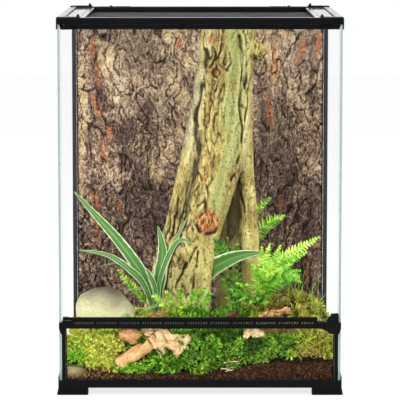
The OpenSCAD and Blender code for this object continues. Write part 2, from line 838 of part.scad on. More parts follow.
// Angle and surface of the front slope, and of the moss on it
slope_y0 = soil_y0 + 5;
slope_rise = (soil_h - soil_front_h) / (slope_y - soil_y0);
moss_rise = (soil_h + moss_t - soil_front_h - 8) / (slope_y - soil_y0);
function soil_at(y) = soil_z + soil_front_h + (y - soil_y0) * slope_rise;
function moss_at(y) = soil_z + soil_front_h + 8 + (y - soil_y0) * moss_rise;

module slope_bed(x0, x1, y0, y1) {
    translate([x1, 0, 0]) rotate([90, 0, -90]) linear_extrude(x1 - x0)
        polygon([[-y0, soil_at(y0) + loose_gap], [-y0, moss_at(y0)], [-y1, moss_at(y1)], [-y1, soil_at(y1) + loose_gap]]);
}

module mound(x, y, rx, ry, h) {
    translate([x, y, seat_z + 0.2]) intersection() {
        scale([rx, ry, h]) sphere(r = 1, $fn = 28);
        span([-rx, -ry, 0], [rx, ry, h]);
    }
}

module moss() {
    stone_front = slope_y - slope_l + 72;
    color("#6d8f1e") {
        slope_bed(-half_w + 20, half_w - 20, slope_y0, stone_front);
        slope_bed(-100, half_w - 20, stone_front - 1, slope_y - 2);
        mound(moss_right_x, trunk_y - 45, 58, 76, 58);
        mound(22, trunk_y - 128, 66, 15, 42);
    }
}

// Limb of driftwood between two stations [x, y, z, half width, half depth]
module limb(a, b) {
    hull() {
        for (s = [a, b])
            translate([s[0], s[1], s[2]]) scale([s[3], s[4], 1]) cylinder(r = 1, h = 2, $fn = 20);
    }
}

module trunk() {
    y = trunk_y;
    rise = trunk_top - seat_z;
    fork = seat_z + rise * 0.653;
    knee = seat_z + rise * 0.388;
    color("#9c9a58") {
        limb([44, y + 6, trunk_top - 2, 34, 26], [38, y + 2, fork, 40, 27]);
        limb([38, y + 2, fork - 1, 40, 27], [-2, y - 12, knee, 33, 26]);
        limb([-2, y - 12, knee - 1, 33, 26], [-22, y - 36, seat_z + 0.2, 46, 24]);
        limb([14, y + 14, trunk_top - 12, 12, 16], [-4, y + 14, fork, 13, 16]);
        limb([-4, y + 14, fork - 1, 13, 16], [-82, y + 20, seat_z + 0.2, 16, 16]);
        limb([74, y + 20, trunk_top - 20, 16, 18], [80, y + 40, seat_z + 0.2, 16, 20]);
        translate([64, y + 6, trunk_top - 27]) rotate([0, 115, 0]) cylinder(r1 = 17, r2 = 11, h = 46);
    }
}

module stone_left() {
    x = -half_w + 21 + stone.x;
    y = slope_y - slope_l + 76 + stone.y;
    color("#c9c8a8") translate([x, y, seat_z + 0.2]) intersection() {
        translate([0, 0, stone.z - 55]) scale([stone.x, stone.y, 55]) sphere(r = 1, $fn = 40);
        span([-stone.x, -stone.y, 0], [stone.x, stone.y, stone.z]);
    }
}

// Flat blade in a plane of constant y, from a root to a tip, as a lens outline
module blade(root, tip, width, y) {
    run = tip - root;
    length = norm(run);
    turn = atan2(run.y, run.x);
    along_y(y, y + leaf_t) translate(root) rotate(turn)
        polygon(concat([for (t = [0 : 8]) [length * t / 8, width / 2 * sin(22.5 * t) + (t < 8 ? 1 : 0)]],
            [for (t = [8 : -1 : 0]) [length * t / 8, -width / 2 * sin(22.5 * t) - (t < 8 ? 1 : 0)]]));
}

module striped_leaves() {
    x = -half_w + 151;
    root = [x, seat_z + 58];
    y = trunk_y - 108;
    color("#3f8a3a") {
        translate([x, y + 4, seat_z + 0.2]) cylinder(r = 5, h = 60, $fn = 24);
        blade(root, [x - 131, seat_z + 234], 26, y);
        blade(root, [x - 116, seat_z + 137], 13, y + 2);
        blade(root, [x - 86, seat_z + 116], 9, y + 4);
        blade(root, [x + 1, seat_z + 176], 22, y + 6);
        blade(root, [x + 42, seat_z + 194], 9, y + 4);
        blade(root, [x + 56, seat_z + 152], 11, y + 2);
        blade([x, seat_z + 10], [x + 169, seat_z + 136], 34, y);
    }
}

module fern() {
    x = moss_right_x - 76;
    y = trunk_y - 66;
    root = [x, seat_z + 70];
    small = [-half_w + 123, seat_z + 66];
    color("#7cc22a") {
        translate([x, y + 3, seat_z + 0.2]) cylinder(r = 4, h = 72, $fn = 24);
        blade(root, [x + 51, seat_z + 216], 14, y);
        blade(root, [x + 68, seat_z + 186], 22, y + 2);
        blade(root, [x + 126, seat_z + 158], 20, y + 4);
        blade(root, [x + 102, seat_z + 92], 30, y);
        blade([x, seat_z + 62], [x + 94, seat_z + 66], 18, y + 4);
        translate([small.x, trunk_y - 86, seat_z + 0.2]) cylinder(r = 3, h = 74, $fn = 24);
        blade(small, small + [-30, 30], 14, trunk_y - 88);
    }
}

// Bark scrap lying on the moss of the front slope
module scrap(x, y, length, width, turn) {
    tilt = atan(moss_rise);
    translate([x, y, moss_at(y) + loose_gap]) rotate([tilt, 0, 0]) rotate([0, 0, turn])
        difference() {
            translate([-length / 2, 0, 0]) rotate([0, 90, 0]) cylinder(d = width, h = length, $fn = 32);
            translate([-length, 0, -3]) rotate([0, 90, 0]) cylinder(d = width - 3, h = 2 * length, $fn = 32);
            span([-length, -width, -width], [length, width, 0]);
        }
}

module bark_pieces() {
    color("#b98a5c") {
        scrap(-108, slope_y0 + 22, 52, 20, 35);
        scrap(-56, slope_y0 + 30, 46, 26, -10);
        scrap(98, slope_y0 + 40, 22, 14, 20);
    }
}

foot_front_left();
foot_front_right();
foot_rear_left();
foot_rear_right();
foot_pads();
base_rail_front();
base_rail_rear();
base_rail_left();
base_rail_right();
floor_glass();
side_glass_left();
side_glass_right();
rear_glass();
lower_front_glass();
lower_post_left();
lower_post_right();
rear_post_left();
rear_post_right();
vent_bar();
vent_gauze();
vent_end_clips();
latch_keeper();
top_corner_front_left();
top_corner_front_right();
top_corner_rear_left();
top_corner_rear_right();
top_rail_front();
top_rail_rear();
top_rail_left();
top_rail_right();
top_strip_left();
top_strip_right();
hinge_pins();
door_glass();
door_bottom_trim();
door_shoe_lower();
door_shoe_upper();
latch_base();
latch_lever();
latch_spindle();
latch_cam();
lid_frame();
lid_screen();
button_front_left();
button_front_right();
button_rear_left();
button_rear_right();
port_cover_left();
port_cover_right();
bark_panel();
soil();
moss();
trunk();
stone_left();
striped_leaves();
fern();
bark_pieces();
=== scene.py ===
import math
import random
from functools import partial

import bpy
import numpy as np
from mathutils import Matrix, Vector, noise


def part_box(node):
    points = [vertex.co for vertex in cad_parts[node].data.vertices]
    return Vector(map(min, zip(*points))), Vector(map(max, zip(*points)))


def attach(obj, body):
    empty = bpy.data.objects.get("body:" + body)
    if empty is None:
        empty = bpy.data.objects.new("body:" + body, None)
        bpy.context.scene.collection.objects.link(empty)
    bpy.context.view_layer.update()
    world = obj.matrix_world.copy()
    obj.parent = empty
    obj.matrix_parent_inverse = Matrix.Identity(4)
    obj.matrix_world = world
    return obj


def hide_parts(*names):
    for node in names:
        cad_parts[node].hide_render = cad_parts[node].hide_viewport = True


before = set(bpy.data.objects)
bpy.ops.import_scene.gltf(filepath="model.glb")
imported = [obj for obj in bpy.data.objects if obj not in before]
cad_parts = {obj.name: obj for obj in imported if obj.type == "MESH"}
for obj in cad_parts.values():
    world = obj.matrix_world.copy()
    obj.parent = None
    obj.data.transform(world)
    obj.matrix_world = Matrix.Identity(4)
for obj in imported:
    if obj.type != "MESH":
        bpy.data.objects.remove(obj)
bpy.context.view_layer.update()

mm = 0.001

# Studio. The terrarium stands on white paper and is seen from a little above its top, from
# about 3.8 m with a long lens. Large soft lamps stand in front of it and over it.
scene = bpy.context.scene
scene.view_settings.view_transform = "Standard"
camera_data = bpy.data.cameras.new("camera")
camera = bpy.data.objects.new("camera", camera_data)
scene.collection.objects.link(camera)
scene.camera = camera
camera.location = (0, -4.020, 0.775)
camera.rotation_euler = (math.radians(90 - 6.94), 0, 0)
camera_data.sensor_width = 36
camera_data.lens = 219.15
camera_data.clip_end = 60


def linear(code):
    """An sRGB hex colour as the linear colour that a socket takes."""
    parts = [int(code[i : i + 2], 16) / 255 for i in (1, 3, 5)]
    return tuple(c / 12.92 if c <= 0.04045 else ((c + 0.055) / 1.055) ** 2.4 for c in parts) + (1,)


def node(tree, kind, *ins, stops=(), **settings):
    """Adds a shader node. Inputs go by position or by name, and each is a value, a hex colour, an
    output or a node, which then gives its main output. Stops are a ramp's (position, hex) stops."""
    made = tree.nodes.new("ShaderNode" + kind)
    if kind == "Mix":
        made.data_type = "RGBA"
    pairs = list(zip((0, 6, 7) if kind == "Mix" else range(len(ins)), ins))
    for key, value in settings.items():
        socket = key.replace("_", " ")
        if socket in made.inputs:
            pairs.append((socket, value))
        else:
            setattr(made, key, value)
    for key, value in pairs:
        if isinstance(value, bpy.types.Node):
            value = value.outputs[2 if value.type == "MIX" else 0]
        if isinstance(value, bpy.types.NodeSocket):
            tree.links.new(value, made.inputs[key])
        else:
            made.inputs[key].default_value = linear(value) if isinstance(value, str) else value
    if stops:
        marks = made.color_ramp.elements
        while len(marks) < len(stops):
            marks.new(0.5)
        for mark, (place, code) in zip(marks, stops):
            mark.position = place
            mark.color = linear(code)
    return made


def material(name):
    """An empty material, and the function that adds a node to it."""
    made = bpy.data.materials.new(name)
    made.use_nodes = True
    made.node_tree.nodes.clear()
    return made, partial(node, made.node_tree)


world = bpy.data.worlds.new("studio")
scene.world = world
world.use_nodes = True
world.node_tree.nodes.clear()
add = partial(node, world.node_tree)
path = add("LightPath")
way = add("SeparateXYZ", add("TexCoord").outputs["Generated"])
height = add("MapRange", way.outputs["Z"], -0.2, 0.9, 0.24, 0.8)
behind = add("MapRange", way.outputs["Y"], -0.2, 0.6, 0.0, 0.4)
level = add("Math", height, behind, operation="ADD")
seen = add("Math", path.outputs["Is Camera Ray"], path.outputs["Is Transmission Ray"], operation="MAXIMUM")
back = add("MapRange", way.outputs["Y"], 0.2, 0.5, 0.0, 1.2)
shown = add("Math", back, path.outputs["Is Glossy Ray"], operation="MULTIPLY")
level = add("Math", level, shown, operation="MAXIMUM")
dome = add("Background", (1, 1, 1, 1), level)
white = add("Background", (1, 1, 1, 1), 1.0)
mixed = add("MixShader", seen, dome, white)
add("OutputWorld", mixed)

bpy.ops.mesh.primitive_plane_add(size=12, location=(0, 1, 0))
floor = bpy.context.object
floor.name = "floor"
paper, add = material("matt white background paper")
path = add("LightPath")
seen = add("Math", path.outputs["Is Camera Ray"], path.outputs["Is Glossy Ray"], operation="MAXIMUM")
seen = add("Math", seen, path.outputs["Is Transmission Ray"], operation="MAXIMUM")
glow = add("Math", seen, 0.72, operation="MULTIPLY")
lit = add("BsdfDiffuse", (0.86, 0.86, 0.86, 1))
bright = add("Emission", (1, 1, 1, 1), 1.08)
mixed = add("MixShader", glow, lit, bright)
add("OutputMaterial", mixed)
floor.data.materials.append(paper)

for name, place, aim, size, power in (
    ("lamp front left", (-1.7, -2.6, 1.9), (0, 0, 0.3), 0.9, 84),
    ("lamp front right", (1.9, -2.4, 1.1), (0, 0, 0.3), 1.0, 34),
    ("lamp overhead", (0.1, -0.5, 2.3), (0, 0, 0.4), 0.9, 26),
):
    bpy.ops.object.light_add(type="AREA", location=place)
    lamp = bpy.context.object
    lamp.name = name
    lamp.data.size = size
    lamp.data.energy = power
    lamp.rotation_euler = (Vector(aim) - Vector(place)).to_track_quat("-Z", "Y").to_euler()


# Frame. The base, the top frame, the vent bar and the lid's frame are moulded in black ABS,
# with a fine spark texture, softened edges and a little dust on what faces up.
def moulded(name, base, worn, rough, gloss=0.0):
    """Moulded ABS: a satin black with a fine grain, smoother and paler where it faces up."""
    made, add = material(name)
    place = add("TexCoord")
    cloud = add("TexNoise", place.outputs["Object"], Scale=22.0, Detail=4.0)
    # The real spark texture is near 0.15 mm; 0.9 mm is the finest that shows at this size.
    grain = add("TexNoise", place.outputs["Object"], Scale=1 / (0.9 * mm), Detail=2.0)
    up = add("SeparateXYZ", place.outputs["Normal"])
    dust = add("MapRange", up.outputs["Z"], 0.3, 1.0, 0.0, 0.7)
    dusty = add("Math", dust, cloud, operation="MULTIPLY")
    tone = add("Mix", dusty, linear(base), linear(worn))
    shine = add("MapRange", cloud, 0.3, 0.7, rough - 0.07, rough + 0.09)
    smooth = add("MapRange", up.outputs["Z"], 0.7, 0.98, 1.0, 0.4)
    shine = add("Math", shine, smooth, operation="MULTIPLY")
    bump = add("Bump", Strength=0.1, Distance=0.12 * mm, Height=grain)
    shader = add("BsdfPrincipled", Base_Color=tone, Roughness=shine, Normal=bump, Specular_IOR_Level=0.08,
                 IOR=1.53, Coat_Weight=gloss, Coat_Roughness=0.06, Coat_IOR=1.5)
    add("OutputMaterial", shader)
    return made


def dress(finish, names, edge=0):
    """Gives CAD nodes their material and, where edge is set, softened edges of that width."""
    for name in names:
        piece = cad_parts[name]
        for place in piece.material_slots:
            place.material = finish
        if edge:
            piece.modifiers.new("joined", "WELD").merge_threshold = 0.01 * mm
            flat = piece.modifiers.new("plain faces", "DECIMATE")
            flat.decimate_type = "DISSOLVE"
            flat.angle_limit = math.radians(1)
            round_edge = piece.modifiers.new("soft edge", "BEVEL")
            round_edge.width = edge
            round_edge.segments = 2
            round_edge.limit_method = "ANGLE"
            round_edge.angle_limit = math.radians(40)


black_abs = moulded("moulded black ABS", "#050608", "#4a4846", 0.34)
sides = ("left", "right")
corners = [f"{part}_{end}_{side}" for part in ("foot", "top_corner", "button") for end in ("front", "rear")
           for side in sides]
pairs = [f"{part}_{side}" for part in ("base_rail", "top_rail", "lower_post", "port_cover") for side in sides]
dress(black_abs, corners + pairs + ["base_rail_front", "base_rail_rear", "top_rail_front", "vent_bar",
                                    "vent_end_clips", "latch_keeper", "door_bottom_trim", "door_shoe_lower",
                                    "door_shoe_upper"], 0.5 * mm)
# The rear rail and the lid come from a polished mould, and mirror the pale room along their tops.
dress(moulded("moulded black ABS, polished", "#050608", "#3a3836", 0.34, 1.0), ["top_rail_rear"], 0.5 * mm)
dress(moulded("moulded black ABS, half polished", "#050608", "#3a3836", 0.34, 0.2), ["lid_frame"], 0.5 * mm)

# Rear posts. Extruded profiles that the side and rear panes stand in: dark towards the inside,
# and a paler grey on the outer leg, which is seen through the edge of the side pane.
grey_post, add = material("extruded grey and black PVC")
place = add("TexCoord").outputs["Object"]
split = add("SeparateXYZ", place)
side = add("Math", split.outputs["X"], operation="ABSOLUTE")
outer = add("MapRange", side, 214.2 * mm, 214.6 * mm, 0.0, 1.0)
# Extrusion leaves fine lines along the profile, drawn here 1.5 mm apart.
lines = add("Mapping", place, Scale=(1 / (1.5 * mm), 1 / (1.5 * mm), 4.0))
streak = add("TexNoise", lines, Scale=1.0, Detail=2.0)
shade = add("Mix", outer, "#1a1a1d", "#29292d")
shine = add("MapRange", streak, 0.2, 0.8, 0.32, 0.5)
shader = add("BsdfPrincipled", Base_Color=shade, Roughness=shine, Specular_IOR_Level=0.35)
add("OutputMaterial", shader)
dress(grey_post, ["rear_post_left", "rear_post_right"], 0.4 * mm)

# Foot pads. Soft rubber discs under the four feet, moulded in one colour and let into the plastic.
# Bloom and grime leave paler patches on them.
rubber, add = material("moulded rubber")
place = add("TexCoord").outputs["Object"]
# The patches are some 4 mm wide.
patch = add("TexNoise", place, Scale=1 / (4 * mm), Detail=3.0)
tone = add("ValToRGB", patch, stops=((0.35, "#141414"), (0.7, "#2b2a29")))
shader = add("BsdfPrincipled", Base_Color=tone, Roughness=0.75, Specular_IOR_Level=0.4)
add("OutputMaterial", shader)
dress(rubber, ["foot_pads"])

# Panes. Float glass 4 mm thick with ground edges: clear face on, and grey-green and cloudy
# along the cut edges, where one looks through the width of the sheet.
def pane_glass(name, axis, veil):
    """Float glass for a pane whose faces look along axis (0 X, 1 Y, 2 Z)."""
    made, add = material(name)
    split = add("SeparateXYZ", add("TexCoord").outputs["Normal"])
    facing = add("Math", split.outputs[axis], operation="ABSOLUTE")
    is_edge = add("Math", facing, 0.7, operation="LESS_THAN")
    clear = add("BsdfTransparent", (0.994, 0.999, 0.997, 1))
    mirror = add("BsdfGlossy", (1, 1, 1, 1), Roughness=0.03)
    slant = add("Fresnel", 1.45)
    weak = add("Math", slant, veil, operation="MULTIPLY")
    face = add("MixShader", weak, clear, mirror)
    # Chips from the grinding wheel show as cloudy spots about 1 mm long.
    chips = add("TexNoise", add("TexCoord").outputs["Object"], Scale=1 / (1.2 * mm))
    tone = add("ValToRGB", chips, stops=((0.3, "#667772"), (0.7, "#8a9c96")))
    ground = add("BsdfPrincipled", Base_Color=tone, Roughness=0.28, IOR=1.5)
    # The rear edges stand in the posts on clear silicone, and don't show.
    far = add("SeparateXYZ", add("TexCoord").outputs["Object"])
    hidden = add("Math", far.outputs["Y"], 0.2, operation="GREATER_THAN")
    edge = add("MixShader", 0.12, ground, clear)
    edge = add("MixShader", hidden, edge, clear)
    whole = add("MixShader", is_edge, face, edge)
    path = add("LightPath")
    lamp_way = add("MixShader", path.outputs["Is Shadow Ray"], whole, clear)
    add("OutputMaterial", lamp_way)
    return made


dress(pane_glass("float glass, side panes", 0, 0.03), ["side_glass_left", "side_glass_right"], 0.4 * mm)
dress(pane_glass("float glass, front and rear panes", 1, 0.05),
      ["rear_glass", "lower_front_glass", "door_glass"], 0.4 * mm)
dress(pane_glass("float glass, floor and top strips", 2, 0.8),
      ["floor_glass", "top_strip_left", "top_strip_right"], 0.4 * mm)

# Hinge pins, latch spindle and the gauze behind the louvres. Turned and woven stainless steel.
steel, add = material("turned stainless steel")
place = add("TexCoord").outputs["Object"]
# Turning marks lie about 0.5 mm apart along the pin.
turned = add("Mapping", place, Scale=(60.0, 60.0, 1 / (0.5 * mm)))
marks = add("TexNoise", turned, Scale=1.0)
shine = add("MapRange", marks, 0.3, 0.7, 0.22, 0.4)
shader = add("BsdfPrincipled", Base_Color="#b9bab8", Metallic=1.0, Roughness=shine)
add("OutputMaterial", shader)
dress(steel, ["hinge_pins", "latch_spindle"])

gauze, add = material("woven steel gauze, bright")
place = add("TexCoord").outputs["Object"]
split = add("SeparateXYZ", place)
cells = []
for axis in ("X", "Z"):
    # The wires are 0.8 mm apart.
    beat = add("Math", split.outputs[axis], math.pi / (0.8 * mm), operation="MULTIPLY")
    wave = add("Math", beat, operation="SINE")
    cells.append(add("Math", wave, operation="ABSOLUTE"))
mesh_hole = add("Math", cells[0], cells[1], operation="MINIMUM")
tone = add("ValToRGB", mesh_hole, stops=((0.25, "#fafaf6"), (0.6, "#c8cac4")))
wire = add("BsdfPrincipled", Base_Color=tone, Roughness=0.5)
# Light from the planting comes through between the wires.
glow = add("BsdfTranslucent", tone)
shader = add("MixShader", 0.5, wire, glow)
# Most of the gauze is open, and what is behind it shows through the louvres. Towards the left it
# is made nearly solid, so that its pale wires show there as a painted highlight.
open_part = add("BsdfTransparent")
open_share = add("MapRange", split.outputs["X"], -120 * mm, 80 * mm, 0.05, 0.8)
sheer = add("MixShader", open_share, shader, open_part)
add("OutputMaterial", sheer)
dress(gauze, ["vent_gauze"])

# Latch. A turn-lever in front of the bar, its base plate and the cam behind them on one spindle.
# They are moulded in black nylon, which is glossier than the frame.
black_nylon = moulded("moulded black nylon", "#08090c", "#4a4846", 0.27)
dress(black_nylon, ["latch_lever", "latch_base", "latch_cam"], 0.6 * mm)

# Lid screen. Woven steel wire, clamped under the lid's tray: warp wires run from front to back
# and weft wires across them. It is drawn at a 2.4 mm pitch, since the real 1.2 mm can't show.
low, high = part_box("lid_screen")
wire_r = 0.14 * mm
pitch = 2.4 * mm


def wires(count, start, end, step, level):
    """A row of parallel wires, modelled once and copied by an array."""
    bpy.ops.object.select_all(action="DESELECT")
    run = Vector(end) - Vector(start)
    bpy.ops.mesh.primitive_cylinder_add(vertices=6, radius=wire_r, depth=run.length, end_fill_type="NGON")
    wire = bpy.context.object
    turn = run.to_track_quat("Z", "Y").to_matrix().to_4x4()
    wire.data.transform(Matrix.Translation((Vector(start) + Vector(end)) / 2 + Vector((0, 0, level))) @ turn)
    rows = wire.modifiers.new("row", "ARRAY")
    rows.use_relative_offset = False
    rows.use_constant_offset = True
    rows.constant_offset_displace = step
    rows.count = count
    bpy.ops.object.modifier_apply(modifier="row")
    return wire


inset = 0.6 * mm
warp = wires(int((high.x - low.x - 2 * inset) / pitch), (low.x + pitch / 2, low.y + inset, 0),
             (low.x + pitch / 2, high.y - inset, 0), (pitch, 0, 0), high.z - wire_r)
weft = wires(int((high.y - low.y - 2 * inset) / pitch), (low.x + inset, low.y + pitch / 2, 0),
             (high.x - inset, low.y + pitch / 2, 0), (0, pitch, 0), high.z - 2.9 * wire_r)
bpy.ops.object.select_all(action="DESELECT")
weft.select_set(True)
warp.select_set(True)
bpy.context.view_layer.objects.active = warp
bpy.ops.object.join()
warp.name = "lid_wire_screen"
wire_finish, add = material("woven galvanised wire")
place = add("TexCoord").outputs["Object"]
# Zinc dulls in patches a few centimetres wide.
patch = add("TexNoise", place, Scale=1 / (25 * mm), Detail=3.0)
tone = add("ValToRGB", patch, stops=((0.3, "#2e2f31"), (0.7, "#4a4b4d")))
shader = add("BsdfPrincipled", Base_Color=tone, Metallic=0.75, Roughness=0.42)
add("OutputMaterial", shader)
warp.data.materials.append(wire_finish)
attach(warp, "lid")
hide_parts("lid_screen")


# Bark panel. A slab of natural pine bark glued to the rear wall: thin scales in squiggly layers
# with fissures between them, which are painted dark as shade, tan where flakes have come off
# and orange where the inner bark shows. It is paler and drier at the top.
low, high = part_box("bark_panel")
# Vector noise starts from the clock unless it gets a seed.
noise.seed_set(7)
columns, rows = 248, 326
bpy.ops.object.select_all(action="DESELECT")
bpy.ops.mesh.primitive_grid_add(x_subdivisions=columns, y_subdivisions=rows, size=1,
                                rotation=(math.pi / 2, 0, 0))
bark = bpy.context.object
bark.name = "bark_rear_wall"
bpy.ops.object.transform_apply(rotation=True)
depth = 11 * mm


def field(x, y, z):
    """Smooth noise from about -1 to 1 at a place given in widths of its lumps."""
    return noise.noise(Vector((x, y, z)))


def share(value):
    """A value kept between 0 and 1."""
    return max(0.0, min(1.0, value))


def store(mesh, values):
    """Stores named values on a mesh's points."""
    for name, numbers in values.items():
        mesh.attributes.new(name, "FLOAT", "POINT").data.foreach_set("value", numbers)


def patchy(x, z, spots):
    """How much of a patch, given as ovals (x, z, half width, half height, lean) in mm, covers a point."""
    best = 0.0
    for cx, cz, rx, rz, lean in spots:
        dz = z - cz
        dx = x - cx + lean * dz
        away = (dx / rx) ** 2 + (dz / rz) ** 2
        if away < 2.2:
            rag = field(x / 5, z / 12, 4.0) * 1.1
            best = max(best, share((1.1 + rag - away) * 1.8))
    return best


orange_spots = ((-181, 425, 5, 24, 0.36), (-158, 378, 4.5, 16, 0.2), (-168, 347, 5, 26, 0.14),
                (-186, 528, 4, 26, -0.1), (-178, 480, 4, 26, 0.05), (-184, 262, 7, 16, 0.2),
                (-180, 208, 4, 22, 0.1), (-36, 534, 7, 10, 0.2), (131, 500, 5, 40, 0.1),
                (120, 420, 5, 34, 0.15), (176, 520, 5, 26, -0.3), (142, 250, 4, 30, 0.0),
                (190, 130, 4, 24, 0.0), (206, 540, 5, 30, 0.0), (-144, 250, 4, 16, 0.1))
cream_spots = ((-40, 548, 22, 16, 0.3), (-20, 500, 18, 14, 0.3), (-44, 470, 14, 22, 0.1),
               (-168, 500, 12, 26, 0.2), (-160, 520, 14, 20, 0.2), (-10, 410, 12, 24, 0.1),
               (-28, 440, 12, 18, 0.0), (128, 500, 13, 52, 0.1), (116, 556, 16, 14, 0.0),
               (160, 450, 10, 22, 0.0), (-204, 430, 8, 60, 0.1), (-60, 345, 16, 22, 0.0),
               (-76, 310, 14, 24, 0.1), (-206, 320, 7, 90, 0.0), (150, 556, 16, 12, 0.0),
               (-34, 380, 8, 22, 0.0))
dark_spots = ((-130, 380, 18, 30, -0.4), (-164, 545, 8, 10, 0.4), (-172, 450, 9, 22, 0.4),
              (-110, 270, 20, 60, -0.1), (-96, 200, 24, 40, 0.0), (-120, 160, 30, 30, 0.0),
              (-70, 240, 20, 50, 0.1), (112, 400, 12, 50, 0.0), (150, 330, 26, 60, 0.1),
              (-130, 330, 18, 24, 0.0), (196, 440, 10, 40, 0.0), (140, 240, 24, 50, 0.0),
              (190, 240, 18, 70, 0.0), (200, 540, 12, 10, 0.0), (-90, 420, 8, 20, 0.0),
              (170, 160, 20, 40, 0.0))
values = {"deep": [], "tone": [], "orange": [], "cream": [], "dark": []}
for point in bark.data.vertices:
    x = point.co.x * (high.x - low.x + 2.4 * mm)
    z = low.z + (point.co.z + 0.5) * (high.z - low.z)
    a, b = x / mm, z / mm
    warp = noise.noise_vector(Vector((a / 46, b / 60, 1.7))) * 12
    warp += noise.noise_vector(Vector((a / 9, b / 13, 5.0))) * 4.5
    u = a + warp.x + 0.12 * (b - 300) * (1 if a < 60 else -0.2)
    v = b + warp.y
    slab = field(u / 34, v / 70, 0.0)
    scale_a = field(u / 8, v / 21, 3.0)
    scale_b = field(u / 3.9, v / 9, 6.0)
    grit = field(a / 2.1, b / 2.7, 9.0)
    # A fissure runs where a field passes through zero, and is left out where the field beside it is low.
    wide_gap = max(0.0, 1 - abs(field(u / 17, v / 56, 12.0)) / 0.06)
    thin_gap = max(0.0, 1 - abs(scale_a) / 0.075) * share(0.55 + 2.2 * slab)
    hair_gap = max(0.0, 1 - abs(scale_b) / 0.13) * share(0.5 + 2 * scale_a)
    gap = min(1.0, 0.95 * wide_gap + 0.75 * thin_gap + 0.5 * hair_gap)
    orange = patchy(a, b, orange_spots)
    rise = 0.66 + 0.32 * slab + 0.24 * abs(scale_a) + 0.2 * abs(scale_b) + 0.12 * grit
    rise = share(rise - 0.5 * gap - 0.12 * orange)
    point.co = (x, low.y + depth * (1.0 - rise), z)
    # The strips beside the posts are painted dark, as shade where the bark meets them.
    values["deep"].append(max(gap, share((abs(a) - 211.0) / 1.2)))
    dry = share((b - 250) / 230)
    values["tone"].append(0.32 + 0.24 * dry + 0.3 * slab + 0.36 * scale_b + 0.42 * grit + 0.22 * scale_a)
    values["orange"].append(orange)
    values["cream"].append(patchy(a, b, cream_spots))
    values["dark"].append(patchy(a, b, dark_spots))
store(bark.data, values)
bpy.ops.object.mode_set(mode="EDIT")
bpy.ops.mesh.select_mode(type="EDGE")
bpy.ops.mesh.select_all(action="DESELECT")
bpy.ops.mesh.select_non_manifold()
bpy.ops.mesh.extrude_region_move()
bpy.ops.object.mode_set(mode="OBJECT")
for point in bark.data.vertices:
    if point.select:
        point.co.y = high.y
bpy.ops.object.mode_set(mode="EDIT")
bpy.ops.mesh.edge_face_add()
bpy.ops.mesh.select_all(action="SELECT")
bpy.ops.mesh.normals_make_consistent(inside=False)
bpy.ops.object.mode_set(mode="OBJECT")
bpy.ops.object.shade_smooth_by_angle(angle=math.radians(38))
pine_bark, add = material("natural pine bark")
place = add("TexCoord").outputs["Object"]
marks = {name: add("Attribute", attribute_name=name).outputs["Fac"] for name in values}
# Scales peel in flecks about 2 mm wide and 4 mm tall; specks of lichen are 1.5 mm.
tall = add("Mapping", place, Scale=(1 / (2 * mm), 1 / (2 * mm), 1 / (4 * mm)))
scale = add("TexNoise", tall, Scale=1.0, Detail=4.0, Roughness=0.7)
speck = add("TexNoise", place, Scale=1 / (1.5 * mm), Detail=2.0)
broad = add("TexNoise", place, Scale=1 / (50 * mm), Detail=3.0)
centred = add("MapRange", scale, 0.3, 0.7, -0.3, 0.3)
blend = add("Math", centred, marks["tone"], operation="ADD")
base = add("ValToRGB", blend, stops=((0.08, "#33241d"), (0.3, "#6b5244"), (0.46, "#957b66"),
           (0.62, "#b79c80"), (0.82, "#dcc6a4")))
hue = add("MapRange", broad, 0.42, 0.6, 0.0, 0.5)
grey = add("Mix", blend, "#483b34", "#b8a48e")
cool = add("Mix", hue, base, grey)
dry = add("Mix", blend, "#8a6642", "#fbe3b4")
creamy = add("Math", marks["cream"], 0.75, operation="MULTIPLY")
tanned = add("Mix", creamy, cool, dry)
shady = add("Mix", blend, "#1d1315", "#7c6258")
dark = add("Math", marks["dark"], 0.75, operation="MULTIPLY")
darker = add("Mix", dark, tanned, shady)
inner = add("Mix", blend, "#7a3a1c", "#e09a66")
rusty = add("Math", marks["orange"], 0.8, operation="MULTIPLY")
orange = add("Mix", rusty, darker, inner)
pits = add("MapRange", speck, 0.42, 0.32, 0.0, 0.6)
pitted = add("Mix", pits, orange, "#2c1d18")
# Painted shade: the fissures and the strips beside the posts are darkened.
hollow = add("MapRange", marks["deep"], 0.3, 0.95, 0.0, 0.9)
final = add("Mix", hollow, pitted, "#1a0f0c")
# The back is sawn flat through the inner bark, and is plain brown.
deepness = add("SeparateXYZ", place)
sawn = add("MapRange", deepness.outputs["Y"], high.y - 2 * mm, high.y - 0.5 * mm, 0.0, 1.0)
mild = add("Math", scale, broad, operation="ADD")
inner_bark = add("ValToRGB", add("Math", mild, 0.5, operation="MULTIPLY"),
                 stops=((0.36, "#4e3322"), (0.5, "#7a563a"), (0.64, "#a07a56")))
final = add("Mix", sawn, final, inner_bark)
bump = add("Bump", Strength=0.8, Distance=0.9 * mm, Height=scale)
shader = add("BsdfPrincipled", Base_Color=final, Roughness=0.85, Specular_IOR_Level=0.2, Normal=bump)
add("OutputMaterial", shader)
bark.data.materials.append(pine_bark)
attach(bark, "tank")
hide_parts("bark_panel")

